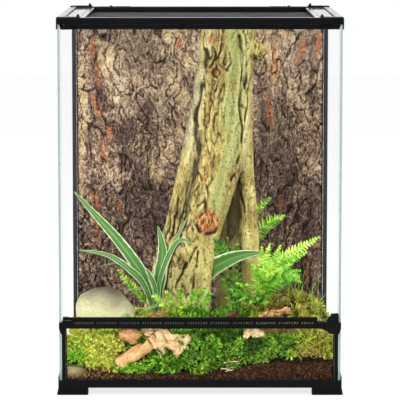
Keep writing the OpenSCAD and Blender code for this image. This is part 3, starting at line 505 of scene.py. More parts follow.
# Soil. Loose damp coco and bark soil, level at the back and sloping down to the front pane,
# with lumps pressed against the glass.
seat_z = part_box("trunk")[0].z
low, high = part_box("soil")
bpy.ops.object.select_all(action="DESELECT")
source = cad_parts["soil"]
soil = source.copy()
soil.data = source.data.copy()
soil.parent = None
for key in list(soil.keys()):
    del soil[key]
scene.collection.objects.link(soil)
soil.name = "soil_bed"
soil.select_set(True)
bpy.context.view_layer.objects.active = soil
soil.data.materials.clear()
soil.modifiers.new("joined", "WELD").merge_threshold = 0.01 * mm
fine = soil.modifiers.new("fine", "REMESH")
fine.mode = "VOXEL"
fine.voxel_size = 3.4 * mm
for step in ("joined", "fine"):
    bpy.ops.object.modifier_apply(modifier=step)
soil.data.update()
normals = [point.normal.copy() for point in soil.data.vertices]
for point, out in zip(soil.data.vertices, normals):
    spot = point.co / mm
    lump = noise.fractal(spot / 7, 0.7, 2.2, 4) * 1.6 + noise.noise(spot / 2.3) * 0.9
    if out.z > 0.6 and point.co.z > high.z - 25 * mm:
        lump += noise.noise(spot / 30) * 2.5 - 1.0
    moved = point.co + out * lump * mm
    front_low = moved.y < low.y + 4 * mm
    if front_low and out.y < -0.5:
        moved.y = max(moved.y, low.y) - 0.35 * mm
    moved.x = max(low.x - 0.3 * mm, min(high.x + 0.3 * mm, moved.x))
    if point.co.z < low.z + 2 * mm:
        moved.z = max(moved.z, low.z)
    # In front the bed falls away to a bank, lowest in the middle and higher at the right.
    brow = float(np.interp(moved.x / mm, (-217, -190, -165, -120, 0, 40, 72, 105, 217),
                           (45, 43, 37, 33, 31, 36, 44, 57, 62))) * mm
    near = share((-150 * mm - moved.y) / (60 * mm))
    if near > 0 and moved.z > brow:
        moved.z = brow + (moved.z - brow) * (1 - near)
    point.co = moved
bpy.ops.object.shade_flat()
humus, add = material("damp coco soil")
place = add("TexCoord").outputs["Object"]
# Crumbs are 2 to 5 mm across, with short pinkish chips of bark among them.
crumb = add("TexVoronoi", place, Scale=1 / (2.0 * mm))
clod = add("TexNoise", place, Scale=1 / (6 * mm), Detail=5.0, Roughness=0.7)
grey = add("SeparateColor", crumb.outputs["Color"])
mixed = add("Math", grey, clod, operation="ADD")
split = add("SeparateXYZ", place)
# The bed is drier and sandier towards the left, with a crust of sand in the corner.
dry = add("MapRange", split.outputs["X"], -215 * mm, 20 * mm, 0.24, 0.0)
level = add("Math", mixed, dry, operation="ADD")
tone = add("ValToRGB", add("Math", level, 0.5, operation="MULTIPLY"),
           stops=((0.25, "#120a04"), (0.5, "#24150a"), (0.66, "#3a220e"), (0.8, "#6a4828"),
           (0.92, "#b48a60")))
corner = add("MapRange", split.outputs["X"], -198 * mm, -178 * mm, 0.75, 0.0)
crust = add("MapRange", split.outputs["Z"], 26 * mm, 38 * mm, 0.0, 1.0)
sand = add("Math", corner, crust, operation="MULTIPLY")
front = add("MapRange", split.outputs["Y"], -198 * mm, -186 * mm, 1.0, 0.0)
sand = add("Math", sand, front, operation="MULTIPLY")
tone = add("Mix", sand, tone, "#a49468")
bump = add("Bump", Strength=0.5, Distance=1.0 * mm, Height=mixed)
shader = add("BsdfPrincipled", Base_Color=tone, Roughness=0.9, Specular_IOR_Level=0.1, Normal=bump)
add("OutputMaterial", shader)
soil.data.materials.append(humus)
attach(soil, "tank")
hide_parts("soil")

# Driftwood. A root stump with its legs grown together: fused strands with deep crevices between
# them, a sawn side branch, knots, ridged olive bark and pale lichen on the lit faces.

# Each strand is a line of stations (x, y, z, radius) in mm from the top down.
strands = (
    ((46, 38, 570, 30), (42, 37, 470, 31), (37, 36, 400, 33), (21, 30, 320, 31), (4, 22, 262, 29),
     (-12, 14, 180, 30), (-24, 4, 110, 33), (-28, -2, 62, 38)),
    ((72, 36, 570, 20), (64, 34, 480, 21), (60, 32, 400, 23), (49, 28, 340, 21), (32, 22, 280, 17),
     (17, 16, 220, 15), (4, 10, 160, 15), (-2, 2, 100, 18), (-2, -2, 62, 22)),
    ((22, 38, 570, 19), (17, 38, 500, 19), (10, 38, 420, 19), (8, 34, 360, 17), (-1, 26, 300, 17),
     (-14, 18, 240, 17), (-36, 8, 180, 18), (-52, 2, 120, 20), (-60, -4, 62, 24)),
    ((80, 46, 570, 13), (76, 48, 480, 12), (74, 52, 420, 13), (77, 56, 360, 12), (79, 60, 300, 12),
     (82, 64, 240, 13), (85, 68, 180, 14), (87, 70, 120, 16), (88, 72, 62, 19)),
    ((13, 46, 562, 10), (6, 46, 490, 10), (-5, 46, 430, 10), (-17, 46, 381, 9.5), (-28, 48, 317, 10),
     (-48, 50, 235, 11), (-63, 52, 181, 12), (-80, 53, 97, 13), (-85, 54, 62, 15)),
    ((4, 40, 520, 6), (-10, 38, 420, 5.5), (-19, 38, 360, 5.5), (-34, 42, 290, 6), (-52, 44, 215, 6.5),
     (-66, 46, 150, 8), (-74, 48, 62, 10)),
    ((56, 18, 570, 8), (47, 13, 500, 9), (36, 11, 430, 9), (24, 9, 350, 9), (8, 4, 290, 9), (-6, -4, 230, 8),
     (-16, -10, 170, 9), (-24, -18, 110, 10), (-30, -24, 62, 13)),
    ((38, 16, 570, 8), (33, 13, 505, 9), (26, 14, 440, 8), (12, 12, 360, 8), (-4, 6, 290, 8),
     (-22, 0, 225, 9), (-38, -8, 160, 10), (-50, -14, 100, 11), (-58, -20, 62, 14)),
    ((70, 20, 570, 7), (66, 16, 500, 7), (62, 14, 440, 8), (54, 12, 380, 8), (42, 10, 320, 8),
     (28, 6, 260, 7), (16, 2, 200, 8), (8, -8, 130, 9), (2, -16, 62, 12)),
    ((40, 60, 570, 14), (36, 58, 460, 15), (22, 54, 360, 15), (4, 46, 280, 15), (-10, 40, 180, 17),
     (-20, 34, 62, 22)),
    ((84, 52, 300, 8), (92, 54, 240, 6), (95, 60, 190, 6), (97, 66, 130, 8), (98, 70, 62, 10)),
    ((60, 58, 338, 5), (56, 62, 305, 10), (52, 64, 250, 15), (49, 66, 200, 17), (47, 68, 150, 17),
     (46, 70, 90, 17)),
    ((-3, 44, 500, 4), (-6, 46, 440, 6), (-9, 48, 381, 9), (-17, 50, 317, 12), (-34, 50, 245, 13),
     (-50, 50, 190, 14), (-66, 48, 120, 15)),
    ((70, 40, 548, 17), (88, 37, 536, 15), (106, 35, 524, 12.5)),
)
limbs = []
for stations in strands:
    line = bpy.data.curves.new("strand", "CURVE")
    line.dimensions = "3D"
    line.bevel_depth = mm
    line.bevel_resolution = 4
    line.use_fill_caps = True
    line.resolution_u = 10
    spline = line.splines.new("NURBS")
    spline.points.add(len(stations) - 1)
    spline.order_u = 3
    spline.use_endpoint_u = True
    for bead, (x, y, z, r) in zip(spline.points, stations):
        bead.co = (x * mm, y * mm, z * mm, 1)
        bead.radius = r
    limb = bpy.data.objects.new("strand", line)
    scene.collection.objects.link(limb)
    limbs.append(limb)
bpy.ops.object.select_all(action="DESELECT")
for limb in limbs:
    limb.select_set(True)
bpy.context.view_layer.objects.active = limbs[0]
bpy.ops.object.convert(target="MESH")
bpy.ops.object.join()
wood = bpy.context.object
wood.name = "driftwood_stump"
grown = wood.modifiers.new("grown together", "REMESH")
grown.mode = "VOXEL"
grown.voxel_size = 2.3 * mm
eased = wood.modifiers.new("eased", "SMOOTH")
eased.factor = 0.6
eased.iterations = 3
for step in ("grown together", "eased"):
    bpy.ops.object.modifier_apply(modifier=step)
# Rifts as a half width and stations (x, z), traced down the front of the stump.
rifts = ((4.6, (11, 534), (5, 493), (-2, 451), (-7, 414), (-5, 381), (-8, 366)),
         (2.4, (-5, 381), (-9, 342), (-20, 290), (-28, 240), (-48, 190), (-60, 130)),
         (1.6, (-34, 283), (-44, 240), (-57, 190), (-71, 139)),
         (1.5, (-50, 250), (-62, 205), (-76, 150)), (1.7, (-6, 208), (-20, 184), (-33, 156), (-50, 120)),
         (1.8, (-2, 200), (-8, 160), (-16, 110)),
         (2.6, (-7, 243), (-3, 235), (10, 229), (23, 232), (32, 243)),
         (2.2, (66, 558), (69, 501), (66, 452), (71, 402), (68, 368), (60, 341), (54, 318)),
         (1.7, (39, 558), (36, 535), (25, 518)), (1.6, (20, 545), (26, 528), (15, 505)),
         (1.5, (48, 530), (50, 512), (42, 500)), (1.5, (69, 296), (74, 270), (75, 258)),
         (1.5, (30, 485), (22, 462), (25, 440)), (1.5, (78, 560), (75, 530), (77, 500), (74, 470)),
         (1.3, (80, 470), (79, 440), (76, 415)))


def rift_depth(x, z):
    """How deep in a rift each point is, from 0 to 1. A rift is a gap between grown-together stems,
    which is pushed in and painted dark as shade, and wanders a little from the line through its
    stations (x, z) in mm."""
    x = x + 1.6 * np.sin(z / 21.0) + 0.8 * np.sin(z / 7.3 + x / 6)
    nearest = np.full(len(x), 99.0)
    for half, *line in rifts:
        for (ax, az), (bx, bz) in zip(line, line[1:]):
            run = (bx - ax) ** 2 + (bz - az) ** 2
            t = np.clip(((x - ax) * (bx - ax) + (z - az) * (bz - az)) / run, 0, 1)
            nearest = np.minimum(nearest, np.hypot(x - ax - t * (bx - ax), z - az - t * (bz - az)) / half)
    return np.exp(-(nearest ** 2))


# Knots as (x, z, radius): the grain runs round them.
knots = ((27, 496, 10), (46, 512, 8), (13, 250, 17), (28, 470, 6), (52, 420, 6), (-14, 236, 8),
         (70, 300, 6), (-30, 180, 7))
values = {"deep": [], "knot": [], "rust": [], "lichen": [], "cream": [], "brown": []}
wood_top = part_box("trunk")[1].z
normals = [point.normal.copy() for point in wood.data.vertices]
spots = np.array([tuple(point.co) for point in wood.data.vertices]) / mm
gaps = rift_depth(spots[:, 0], spots[:, 2]).tolist()
# A smooth lichened face runs down the middle, and ridged brown bark lies to the left of it.
faces_at = np.interp(spots[:, 2], (62, 180, 250, 300, 370, 450), (-24, 2, 20, 30, 49, 56))
edges_at = np.interp(spots[:, 2], (62, 120, 240, 300, 380, 450), (-70, -60, -24, -8, 4, 6))
ridges_at = np.clip((spots[:, 0] - edges_at + 3) / 5, 0, 1) * np.clip((faces_at - 9 - spots[:, 0]) / 8, 0, 1)
ridges_at *= np.interp(spots[:, 2], (200, 270), (0.55, 1))
# The thin stems at the left are streaked brown low down and weathered grey high up.
stems_at = np.clip((edges_at - 3 - spots[:, 0]) / 6, 0, 1)
streaks_at = stems_at * np.clip((310 - spots[:, 2]) / 60, 0, 1)
greys_at = stems_at * np.clip((spots[:, 2] - 340) / 50, 0, 1)
# Painted shadow lies where the stems at the left pass behind the main stem.
behind_at = 0.62 * np.exp(-(((edges_at - 5 - spots[:, 0]) / 7) ** 2)) * (spots[:, 2] < 400)
# Reddish wood shows where bark has come off, as x, z, half width, half height and how much.
scars = ((18, 553, 6, 9, 0.8), (15, 505, 6, 9, 0.8), (-30, 190, 5, 7, 0.7), (-8, 156, 4, 11, 0.7),
         (8, 330, 8, 16, 0.35), (-6, 140, 4, 6, 0.8))
bared_at = np.zeros(len(spots))
for sx, sz, rx, rz, much in scars:
    bared_at += much * np.exp(-(((spots[:, 0] - sx) / rx) ** 2) - ((spots[:, 2] - sz) / rz) ** 2)
bared_at *= spots[:, 1] < 40
columns = zip(wood.data.vertices, normals, gaps, faces_at.tolist(), ridges_at.tolist(), streaks_at.tolist(),
              bared_at.tolist(), behind_at.tolist())
for point, out, gap, face_at, ridged, streak, bared, behind in columns:
    x, y, z = point.co / mm
    gap = gap * share(-out.y * 2) * max(0.15, min(1.0, 0.75 + 1.9 * field(x / 13, 0, z / 27)))
    g, h = x, z
    ring = 0.0
    rust = 0.0
    for kx, kz, r in knots:
        dx, dz = x - kx, z - kz
        away = dx * dx + dz * dz * 0.7
        if away < 60 * r * r and y < 45:
            g -= dx * r * r / (away + 0.25 * r * r)
            h += abs(dx) * r * r * 0.6 / (away + r * r)
            if away < r * r * 1.1:
                ring = max(ring, 1 - away / (r * r * 1.1))
    broken = ((x - 13) / 18) ** 2 + ((z - 249) / 21) ** 2 + 0.45 * field(x / 5, 1, z / 7)
    if y < 40 and broken < 1.4:
        rust = min(1.0, (1.4 - broken) * 1.5)
    wander = noise.noise_vector(Vector((x / 24, y / 24, z / 60))) * 4
    g += wander.x
    h += wander.z
    # Ridges part and meet again, because the field that they follow leans one way, then the other.
    weave = 6.5 * field(g / 16, y / 20, h / 42 + 7)
    ridge = abs(field((g + weave) / 8.5, y / 12, h / 44))
    second = abs(field((g - weave) / 4.4 + 9, y / 8, h / 27))
    grain = field(g / 1.9, y / 2.4, h / 18 + 3)
    bare = 0.2 + 0.8 * ridged + 0.5 * streak + 0.9 * max(0.0, field(x / 11, y / 14, z / 45 + 2))
    bare = min(1.0, bare + (0.5 if x > 67 and z > 400 else 0.0))
    crevice = max(0.0, 1 - ridge / 0.17) * bare
    crack = max(0.0, 1 - second / 0.2) * bare
    push = 1.5 - 3.2 * crevice - 2.0 * crack + 0.5 * grain - 5.0 * gap
    push += 1.5 * field(x / 30, y / 30, z / 40)
    if rust:
        push += rust * (5.5 * field(x / 4.5, y / 6, z / 9) + 0.8)
    hole = ((x - 27) / 8) ** 2 + ((z - 496) / 9) ** 2
    if y < 34 and hole < 3:
        push += 3.0 * math.exp(-((hole - 1.3) ** 2) * 3) - 7.0 * math.exp(-hole * 1.6)
    moved = point.co + out * push * mm
    moved.z = max(seat_z - 3 * mm, min(wood_top + 1 * mm, moved.z))
    point.co = moved
    # The hollow between the main stem and the right leg is painted dark at the top, as shade.
    hollow = 0.0
    if y > 42 and 36 < x < 80 and 120 < z < 345:
        hollow = share((z - 140) / 100) * min(1.0, (x - 36) / 12)
        if x > 66:
            hollow *= max(0.0, (80 - x) / 14) * (0.5 + 0.9 * field(x / 5, y / 5, z / 16))
    # Painted shade on the underside of the sawn side branch.
    under = 0.7 if x > 76 and 500 < z < 528 and out.z < -0.3 else 0.0
    contact_shadow = behind * (1.0 + 0.8 * field(x / 4, y / 4, z / 14)) if out.y < 0 else 0.0
    # Painted shade: crevices, cracks and rifts are darkened, with the hollow, the underside and the contact
    # shadow.
    values["deep"].append(min(1.0, 0.8 * crevice + 0.5 * crack + 1.1 * gap + under + hollow + contact_shadow))
    values["knot"].append(math.exp(-hole * 1.5) if y < 34 else 0.0)
    values["rust"].append(max(rust, min(0.85, bared)))
    green = field(x / 22, y / 22, z / 60 + 4)
    lit = math.exp(-(((x - face_at) / 15) ** 2)) * (1 if z > 330 else max(0.25, 1 - (330 - z) / 200))
    values["lichen"].append(share(lit * 1.25 + green * 0.7))
    pale = math.exp(-(((x - (4 + (z - 480) * 0.14)) / 8) ** 2)) * (1 if z > 330 else 0.35)
    pale += 0.9 * math.exp(-(((x - 76) / 7) ** 2)) * (1 if z > 330 else 0.3)
    values["cream"].append(share(pale + grain * 0.7 + 0.1))
    drift = field(x / 9, y / 9, z / 30)
    values["brown"].append(share(ridged * (0.35 + 0.8 * drift + 0.3 * share((z - 400) / 120))
                                 + streak * (0.35 + 1.1 * drift)))
values["grey"] = greys_at.tolist()
store(wood.data, values)
bpy.ops.object.shade_smooth()
driftwood, add = material("weathered driftwood with lichen")
place = add("TexCoord").outputs["Object"]
marks = {name: add("Attribute", attribute_name=name).outputs["Fac"] for name in values}
# Bark fibres are near 1.2 mm wide and 14 mm long; lichen pores are 3.1 mm apart.
fibres = add("Mapping", place, Scale=(1 / (1.2 * mm), 1 / (1.2 * mm), 1 / (14 * mm)))
fibre = add("TexNoise", fibres, Scale=1.0, Detail=4.0, Roughness=0.6)
pores = add("TexNoise", place, Scale=1 / (3.1 * mm), Detail=2.0)
broad = add("TexNoise", place, Scale=1 / (35 * mm), Detail=4.0)
mixed = add("Math", fibre, broad, operation="ADD")
split = add("SeparateXYZ", place)
# Painted light: the lower trunk is made paler, against the shade that the leaves above cast there.
lower_painted_light = add("MapRange", split.outputs["Z"], 110 * mm, 250 * mm, 0.32, 0.0)
mixed = add("Math", mixed, lower_painted_light, operation="ADD")
base = add("ValToRGB", add("Math", mixed, 0.5, operation="MULTIPLY"),
           stops=((0.32, "#4a320c"), (0.43, "#8a6e2e"), (0.54, "#b6a252"), (0.68, "#e6d888")))
scaly = add("ValToRGB", fibre, stops=((0.35, "#5c3c14"), (0.5, "#8e6a34"), (0.65, "#b8965a")))
base = add("Mix", marks["brown"], base, scaly)
aged = add("ValToRGB", fibre, stops=((0.36, "#4c4432"), (0.5, "#8c8468"), (0.64, "#cdc2a4")))
base = add("Mix", marks["grey"], base, aged)
creamy = add("Math", marks["cream"], 0.7, operation="MULTIPLY")
cream = add("Mix", creamy, base, "#e8dea0")
uneven = add("MapRange", broad, 0.3, 0.6, 0.35, 0.9)
crust = add("Math", marks["lichen"], uneven, operation="MULTIPLY")
green = add("Mix", crust, cream, "#9ca264")
pit = add("MapRange", pores, 0.41, 0.35, 0.0, 0.8)
pitted = add("Mix", pit, green, "#2e2814")
rust = add("ValToRGB", fibre, stops=((0.36, "#662a0a"), (0.48, "#9c5422"), (0.58, "#c88646"),
           (0.68, "#ecc88e")))
broken = add("Mix", marks["rust"], pitted, rust)
hole = add("ValToRGB", marks["knot"], stops=((0.0, "#3a2410"), (0.5, "#3a1c0a"), (0.72, "#c0703a"),
           (0.9, "#f4c48c")))
ringed = add("MapRange", marks["knot"], 0.12, 0.4, 0.0, 1.0)
holed = add("Mix", ringed, broken, hole)
# Painted shade from the point values: crevices, rifts, the hollow and undersides go dark brown.
groove = add("MapRange", marks["deep"], 0.2, 0.9, 0.0, 0.92)
grooved = add("Mix", groove, holed, "#241604")
# Every hollow, found from the surface's curvature, is painted dark as shade, and the ridges between are made
# pale.
hollow = add("MapRange", add("NewGeometry").outputs["Pointiness"], 0.5, 0.44, 0.0, 0.6)
hollow_shade = add("Mix", hollow, grooved, "#3a2c0e")
ridged = add("MapRange", add("NewGeometry").outputs["Pointiness"], 0.52, 0.58, 0.0, 0.5)
final = add("Mix", ridged, hollow_shade, "#e4da98")
bump = add("Bump", Strength=0.6, Distance=0.6 * mm, Height=fibre)
shader = add("BsdfPrincipled", Base_Color=final, Roughness=0.8, Specular_IOR_Level=0.25, Normal=bump)
add("OutputMaterial", shader)
wood.data.materials.append(driftwood)
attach(wood, "tank")
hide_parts("trunk")

# Stone. A water-worn sandstone boulder at the left, bedded in the moss. It is smooth, pale beige
# below and grey-brown on its shoulder.
low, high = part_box("stone_left")
centre = (low + high) / 2
half = (high - low) / 2
bpy.ops.object.select_all(action="DESELECT")
bpy.ops.mesh.primitive_ico_sphere_add(subdivisions=6, radius=1)
stone = bpy.context.object
stone.name = "boulder_left"
for point in stone.data.vertices:
    p = point.co.copy()
    flat = Vector((math.copysign(abs(p.x) ** 0.82, p.x), math.copysign(abs(p.y) ** 0.85, p.y),
                   math.copysign(abs(p.z) ** 0.8, p.z)))
    dent = 1 + 0.055 * noise.noise(p * 1.3 + Vector((3, 1, 0)))
    dent += 0.02 * noise.noise(p * 4)
    dent += 0.006 * noise.noise(p * 14)
    if flat.x > 0.1 and flat.z > 0:
        flat.z *= 1 - 0.45 * (flat.x - 0.1) ** 1.2
    flat *= dent
    place_z = centre.z + flat.z * half.z * 0.97
    point.co = (centre.x + flat.x * half.x * 0.96, centre.y + flat.y * half.y * 0.96,
                max(low.z - 2 * mm, min(high.z + 1 * mm, place_z)))
bpy.ops.object.shade_smooth()
boulder, add = material("water-worn sandstone")
place = add("TexCoord").outputs["Object"]
# Grains are 1 mm, and stains run in patches about 30 mm wide.
grit = add("TexNoise", place, Scale=1 / (1.4 * mm), Detail=3.0)
stain = add("TexNoise", place, Scale=1 / (30 * mm), Detail=5.0, Roughness=0.6)
split = add("SeparateXYZ", place)
rise = add("MapRange", split.outputs["Z"], 118 * mm, 158 * mm, -0.22, 0.5)
right = add("MapRange", split.outputs["X"], -190 * mm, -110 * mm, -0.12, 0.1)
calm = add("MapRange", stain, 0.25, 0.75, 0.38, 0.62)
where = add("Math", calm, rise, operation="ADD")
where = add("Math", where, right, operation="ADD")
tone = add("ValToRGB", where, stops=((0.3, "#dad6a6"), (0.5, "#c0bb8e"), (0.68, "#8f896a"),
           (0.9, "#5a5440")))
speck = add("MapRange", grit, 0.34, 0.6, 0.45, 0.0)
final = add("Mix", speck, tone, "#5c5544")
bump = add("Bump", Strength=0.35, Distance=0.5 * mm, Height=grit)
shader = add("BsdfPrincipled", Base_Color=final, Roughness=0.7, Specular_IOR_Level=0.3, Normal=bump)
add("OutputMaterial", shader)
stone.data.materials.append(boulder)
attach(stone, "tank")
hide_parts("stone_left")


# Striped plant. A tuft of grassy leaves between the stone and the stump: arching straps folded
# along the midrib, deep green with creamy white margins.
def mesh_of(name, points, faces, values, finish):
    """A piece from points and faces, with named values on its points, and its material."""
    mesh = bpy.data.meshes.new(name)
    mesh.from_pydata(points, [], faces)
    store(mesh, values)
    piece = bpy.data.objects.new(name, mesh)
    scene.collection.objects.link(piece)
    piece.data.materials.append(finish)
    piece.data.polygons.foreach_set("use_smooth", [True] * len(piece.data.polygons))
    return piece


def arc(stations, t):
    """Point on a smooth line through its stations at t from 0 to 1."""
    count = len(stations) - 1
    at = min(count - 1e-6, t * count)
    i = int(at)
    f = at - i
    p = [Vector(stations[max(0, min(count, j))]) for j in (i - 1, i, i + 1, i + 2)]
    return 0.5 * ((2 * p[1]) + (p[2] - p[0]) * f + (2 * p[0] - 5 * p[1] + 4 * p[2] - p[3]) * f * f
                  + (3 * p[1] - p[0] - 3 * p[2] + p[3]) * f * f * f)


points, faces, over, along = [], [], [], []


def strap(stations, width, face, fold, long=26, across=6, thick=0.5):
    """Adds one strap leaf along stations in mm; face is the way its upper side looks. Each point keeps
    its place across the blade (-1 to 1) and along it (0 to 1)."""
    start = len(points)
    for i in range(long + 1):
        t = i / long
        spot = arc(stations, t)
        run = (arc(stations, min(1, t + 0.02)) - arc(stations, max(0, t - 0.02))).normalized()
        side = run.cross(Vector(face)).normalized()
        up = side.cross(run).normalized()
        w = width / 2 * (min(1.0, 0.45 + t * 1.3)) * max(0.03, (1 - t ** 2.6)) ** 0.9
        for layer in (1, -1):
            for j in range(across + 1):
                s = j / across * 2 - 1
                rise = abs(s) * w * fold + 0.35 * math.sin(t * 19 + s * 2) * abs(s)
                points.append((spot + side * (s * w) + up * (rise + layer * thick / 2)) * mm)
                over.append(s)
                along.append(t)
    ring = across + 1
    for i in range(long):
        a, b = start + i * 2 * ring, start + (i + 1) * 2 * ring
        for j in range(across):
            faces.append((a + j, a + j + 1, b + j + 1, b + j))
            faces.append((a + ring + j, b + ring + j, b + ring + j + 1, a + ring + j + 1))
        faces.append((a, b, b + ring, a + ring))
        faces.append((a + across, a + ring + across, b + ring + across, b + across))
    last = start + long * 2 * ring
    for j in range(across):
        faces.append((start + j, start + ring + j, start + ring + j + 1, start + j + 1))
        faces.append((last + j, last + j + 1, last + ring + j + 1, last + ring + j))


# Leaves as stations from the root to the tip, the width, and the way they face. The wide one at
# the right grows behind the stump and comes out between its legs.
straps = (
    (((-74, -74, 112), (-90, -84, 161), (-103, -92, 188), (-134, -100, 232), (-171, -104, 275),
      (-204, -104, 312)), 23, (0.3, -1, 0.35)),
    (((-76, -76, 112), (-92, -92, 157), (-114, -106, 184), (-149, -114, 209), (-196, -116, 218)), 14,
     (0.2, -1, 0.6)),
    (((-74, -74, 108), (-90, -78, 150), (-110, -84, 178), (-134, -90, 193), (-163, -90, 187)), 7,
     (0.2, -1, 0.4)),
    (((-70, -70, 110), (-74, -76, 150), (-86, -82, 176), (-102, -84, 187), (-124, -86, 192)), 10,
     (0.2, -1, 0.5)),
    (((-71, -66, 92), (-70, -66, 141), (-65, -64, 176), (-62, -60, 212), (-69, -58, 250)), 25,
     (0.15, -1, 0.1)),
    (((-72, -66, 92), (-69, -66, 145), (-56, -62, 187), (-39, -56, 228), (-20, -50, 264)), 10,
     (-0.3, -1, 0.2)),
    (((-70, -70, 92), (-67, -72, 152), (-54, -84, 197), (-38, -92, 227), (-24, -97, 232),
      (-11, -98, 223)), 11, (-0.4, -1, 0.5)),
    (((-7, 24, 66), (-4, 16, 130), (14, 4, 164), (43, -14, 185), (71, -34, 198), (104, -50, 205)), 34,
     (-0.2, -1, 0.25)),
    (((-76, -78, 90), (-74, -80, 128), (-66, -98, 126), (-82, -112, 122), (-100, -118, 114)), 6,
     (0.1, -0.6, 1)),
    (((-74, -72, 100), (-82, -80, 140), (-98, -96, 152), (-120, -110, 150)), 6, (0.1, -0.7, 1)),
)
for stations, width, face in straps:
    strap(stations, width, face, 0.28)
for stem in range(7):
    x = -74 + 7 * math.cos(stem * 2.4)
    y = -72 + 6 * math.sin(stem * 2.4)
    strap(((x, y, 64), (x * 0.98, y, 90), (-73 + stem - 3, -71, 118)), 9, (0, -1, 0.1), 0.3, 6, 4)
leaf, add = material("waxy variegated leaf")
place = add("TexCoord").outputs["Object"]
across = add("Attribute", attribute_name="over").outputs["Fac"]
length = add("Attribute", attribute_name="along").outputs["Fac"]
edge = add("Math", across, operation="ABSOLUTE")
# The white margins waver by about 1 mm along the leaf, and veins run 0.8 mm apart.
wander = add("TexNoise", place, Scale=1 / (9 * mm), Detail=2.0)
shift = add("MapRange", wander, 0.3, 0.7, -0.08, 0.08)
margin = add("Math", edge, shift, operation="ADD")
veins = add("Math", across, 34.0, operation="MULTIPLY")
veins = add("Math", veins, operation="SINE")
vein = add("MapRange", veins, -1.0, 1.0, 0.0, 0.3)
dark = add("Mix", vein, "#33701e", "#86ac5c")
midrib = add("MapRange", edge, 0.16, 0.04, 0.0, 0.2)
ribbed = add("Mix", midrib, dark, "#c8dca0")
white = add("MapRange", margin, 0.74, 0.92, 0.0, 0.9)
striped = add("Mix", white, ribbed, "#dfe8bc")
foot = add("MapRange", length, 0.12, 0.0, 0.0, 0.6)
final = add("Mix", foot, striped, "#c5cf8e")
bump = add("Bump", Strength=0.3, Distance=0.3 * mm, Height=vein)
shader = add("BsdfPrincipled", Base_Color=final, Roughness=0.42, Specular_IOR_Level=0.4, Normal=bump)
add("OutputMaterial", shader)
tuft = mesh_of("striped_leaf_tuft", points, faces, {"over": over, "along": along}, leaf)
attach(tuft, "tank")
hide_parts("striped_leaves")


# Fern. Bright yellow-green fronds at the foot of the stump: each has a thin stalk with rows of
# toothed leaflets that get shorter towards the tip.
def sleeve(faces, start, count, around):
    """Joins rings of around points each, which begin at start, by count rows of faces."""
    for a in range(start, start + count * around, around):
        for k in range(around):
            faces.append((a + k, a + (k + 1) % around, a + around + (k + 1) % around, a + around + k))


points, faces, tones = [], [], []
third_turn = 2.094


def frond(root, tip, bow, width, pairs, face, tone):
    """Adds one frond from root to tip in mm, bowed by bow, with pairs of leaflets."""
    root, tip, bow, face = Vector(root), Vector(tip), Vector(bow), Vector(face)
    middle = (root + tip) / 2 + bow

    def at(t):
        return root * (1 - t) ** 2 + middle * 2 * t * (1 - t) + tip * t * t

    def blade(base, way, flat, length, wide, shade):
        """A toothed leaflet: a strip whose edge goes in and out, with its tip bent down."""
        side = way.cross(flat).normalized()
        start = len(points)
        steps = 7
        for i in range(steps):
            f = i / steps
            w = wide * (1 - f * 0.8) * (1.0 if i % 2 else 0.5)
            mid = base + way * (length * f) - flat * (length * 0.16 * f * f)
            points.extend([(mid - side * w) * mm, (mid + flat * 0.35) * mm, (mid + side * w) * mm])
            tones.extend([shade, shade + 0.14, shade])
        points.append((base + way * length - flat * (length * 0.18)) * mm)
        tones.append(shade + 0.1)
        for i in range(steps - 1):
            a, b = start + i * 3, start + i * 3 + 3
            faces.extend([(a, a + 1, b + 1, b), (a + 1, a + 2, b + 2, b + 1)])
        a = start + (steps - 1) * 3
        faces.extend([(a, a + 1, start + steps * 3), (a + 1, a + 2, start + steps * 3)])

    length = (tip - root).length
    for i in range(pairs):
        t = 0.14 + 0.86 * (i + 0.5) / pairs
        spot = at(t)
        run = (at(min(1, t + 0.03)) - at(t - 0.03)).normalized()
        side = run.cross(face).normalized()
        flat = side.cross(run).normalized()
        reach = width * math.sin(math.pi * min(1, 0.12 + 0.9 * t)) ** 0.7 * random.uniform(0.85, 1.1)
        for sign in (-1, 1):
            way = side * sign + run * random.uniform(0.35, 0.55)
            way = (way - flat * random.uniform(0.0, 0.25)).normalized()
            blade(spot, way, flat, max(2.5, reach), min(4.2, length / pairs * 0.56),
                  tone + random.uniform(-0.34, 0.14))
    start = len(points)
    steps = 8
    for i in range(steps + 1):
        t = i / steps
        spot = at(t)
        w = 0.75 * (1 - 0.75 * t)
        for k in range(3):
            angle = k * third_turn
            points.append((spot + Vector((w * math.cos(angle), w * math.sin(angle),
                                          w * 0.3 * math.sin(angle)))) * mm)
            tones.append(tone - 0.25)
    sleeve(faces, start, steps, 3)


random.seed(11)
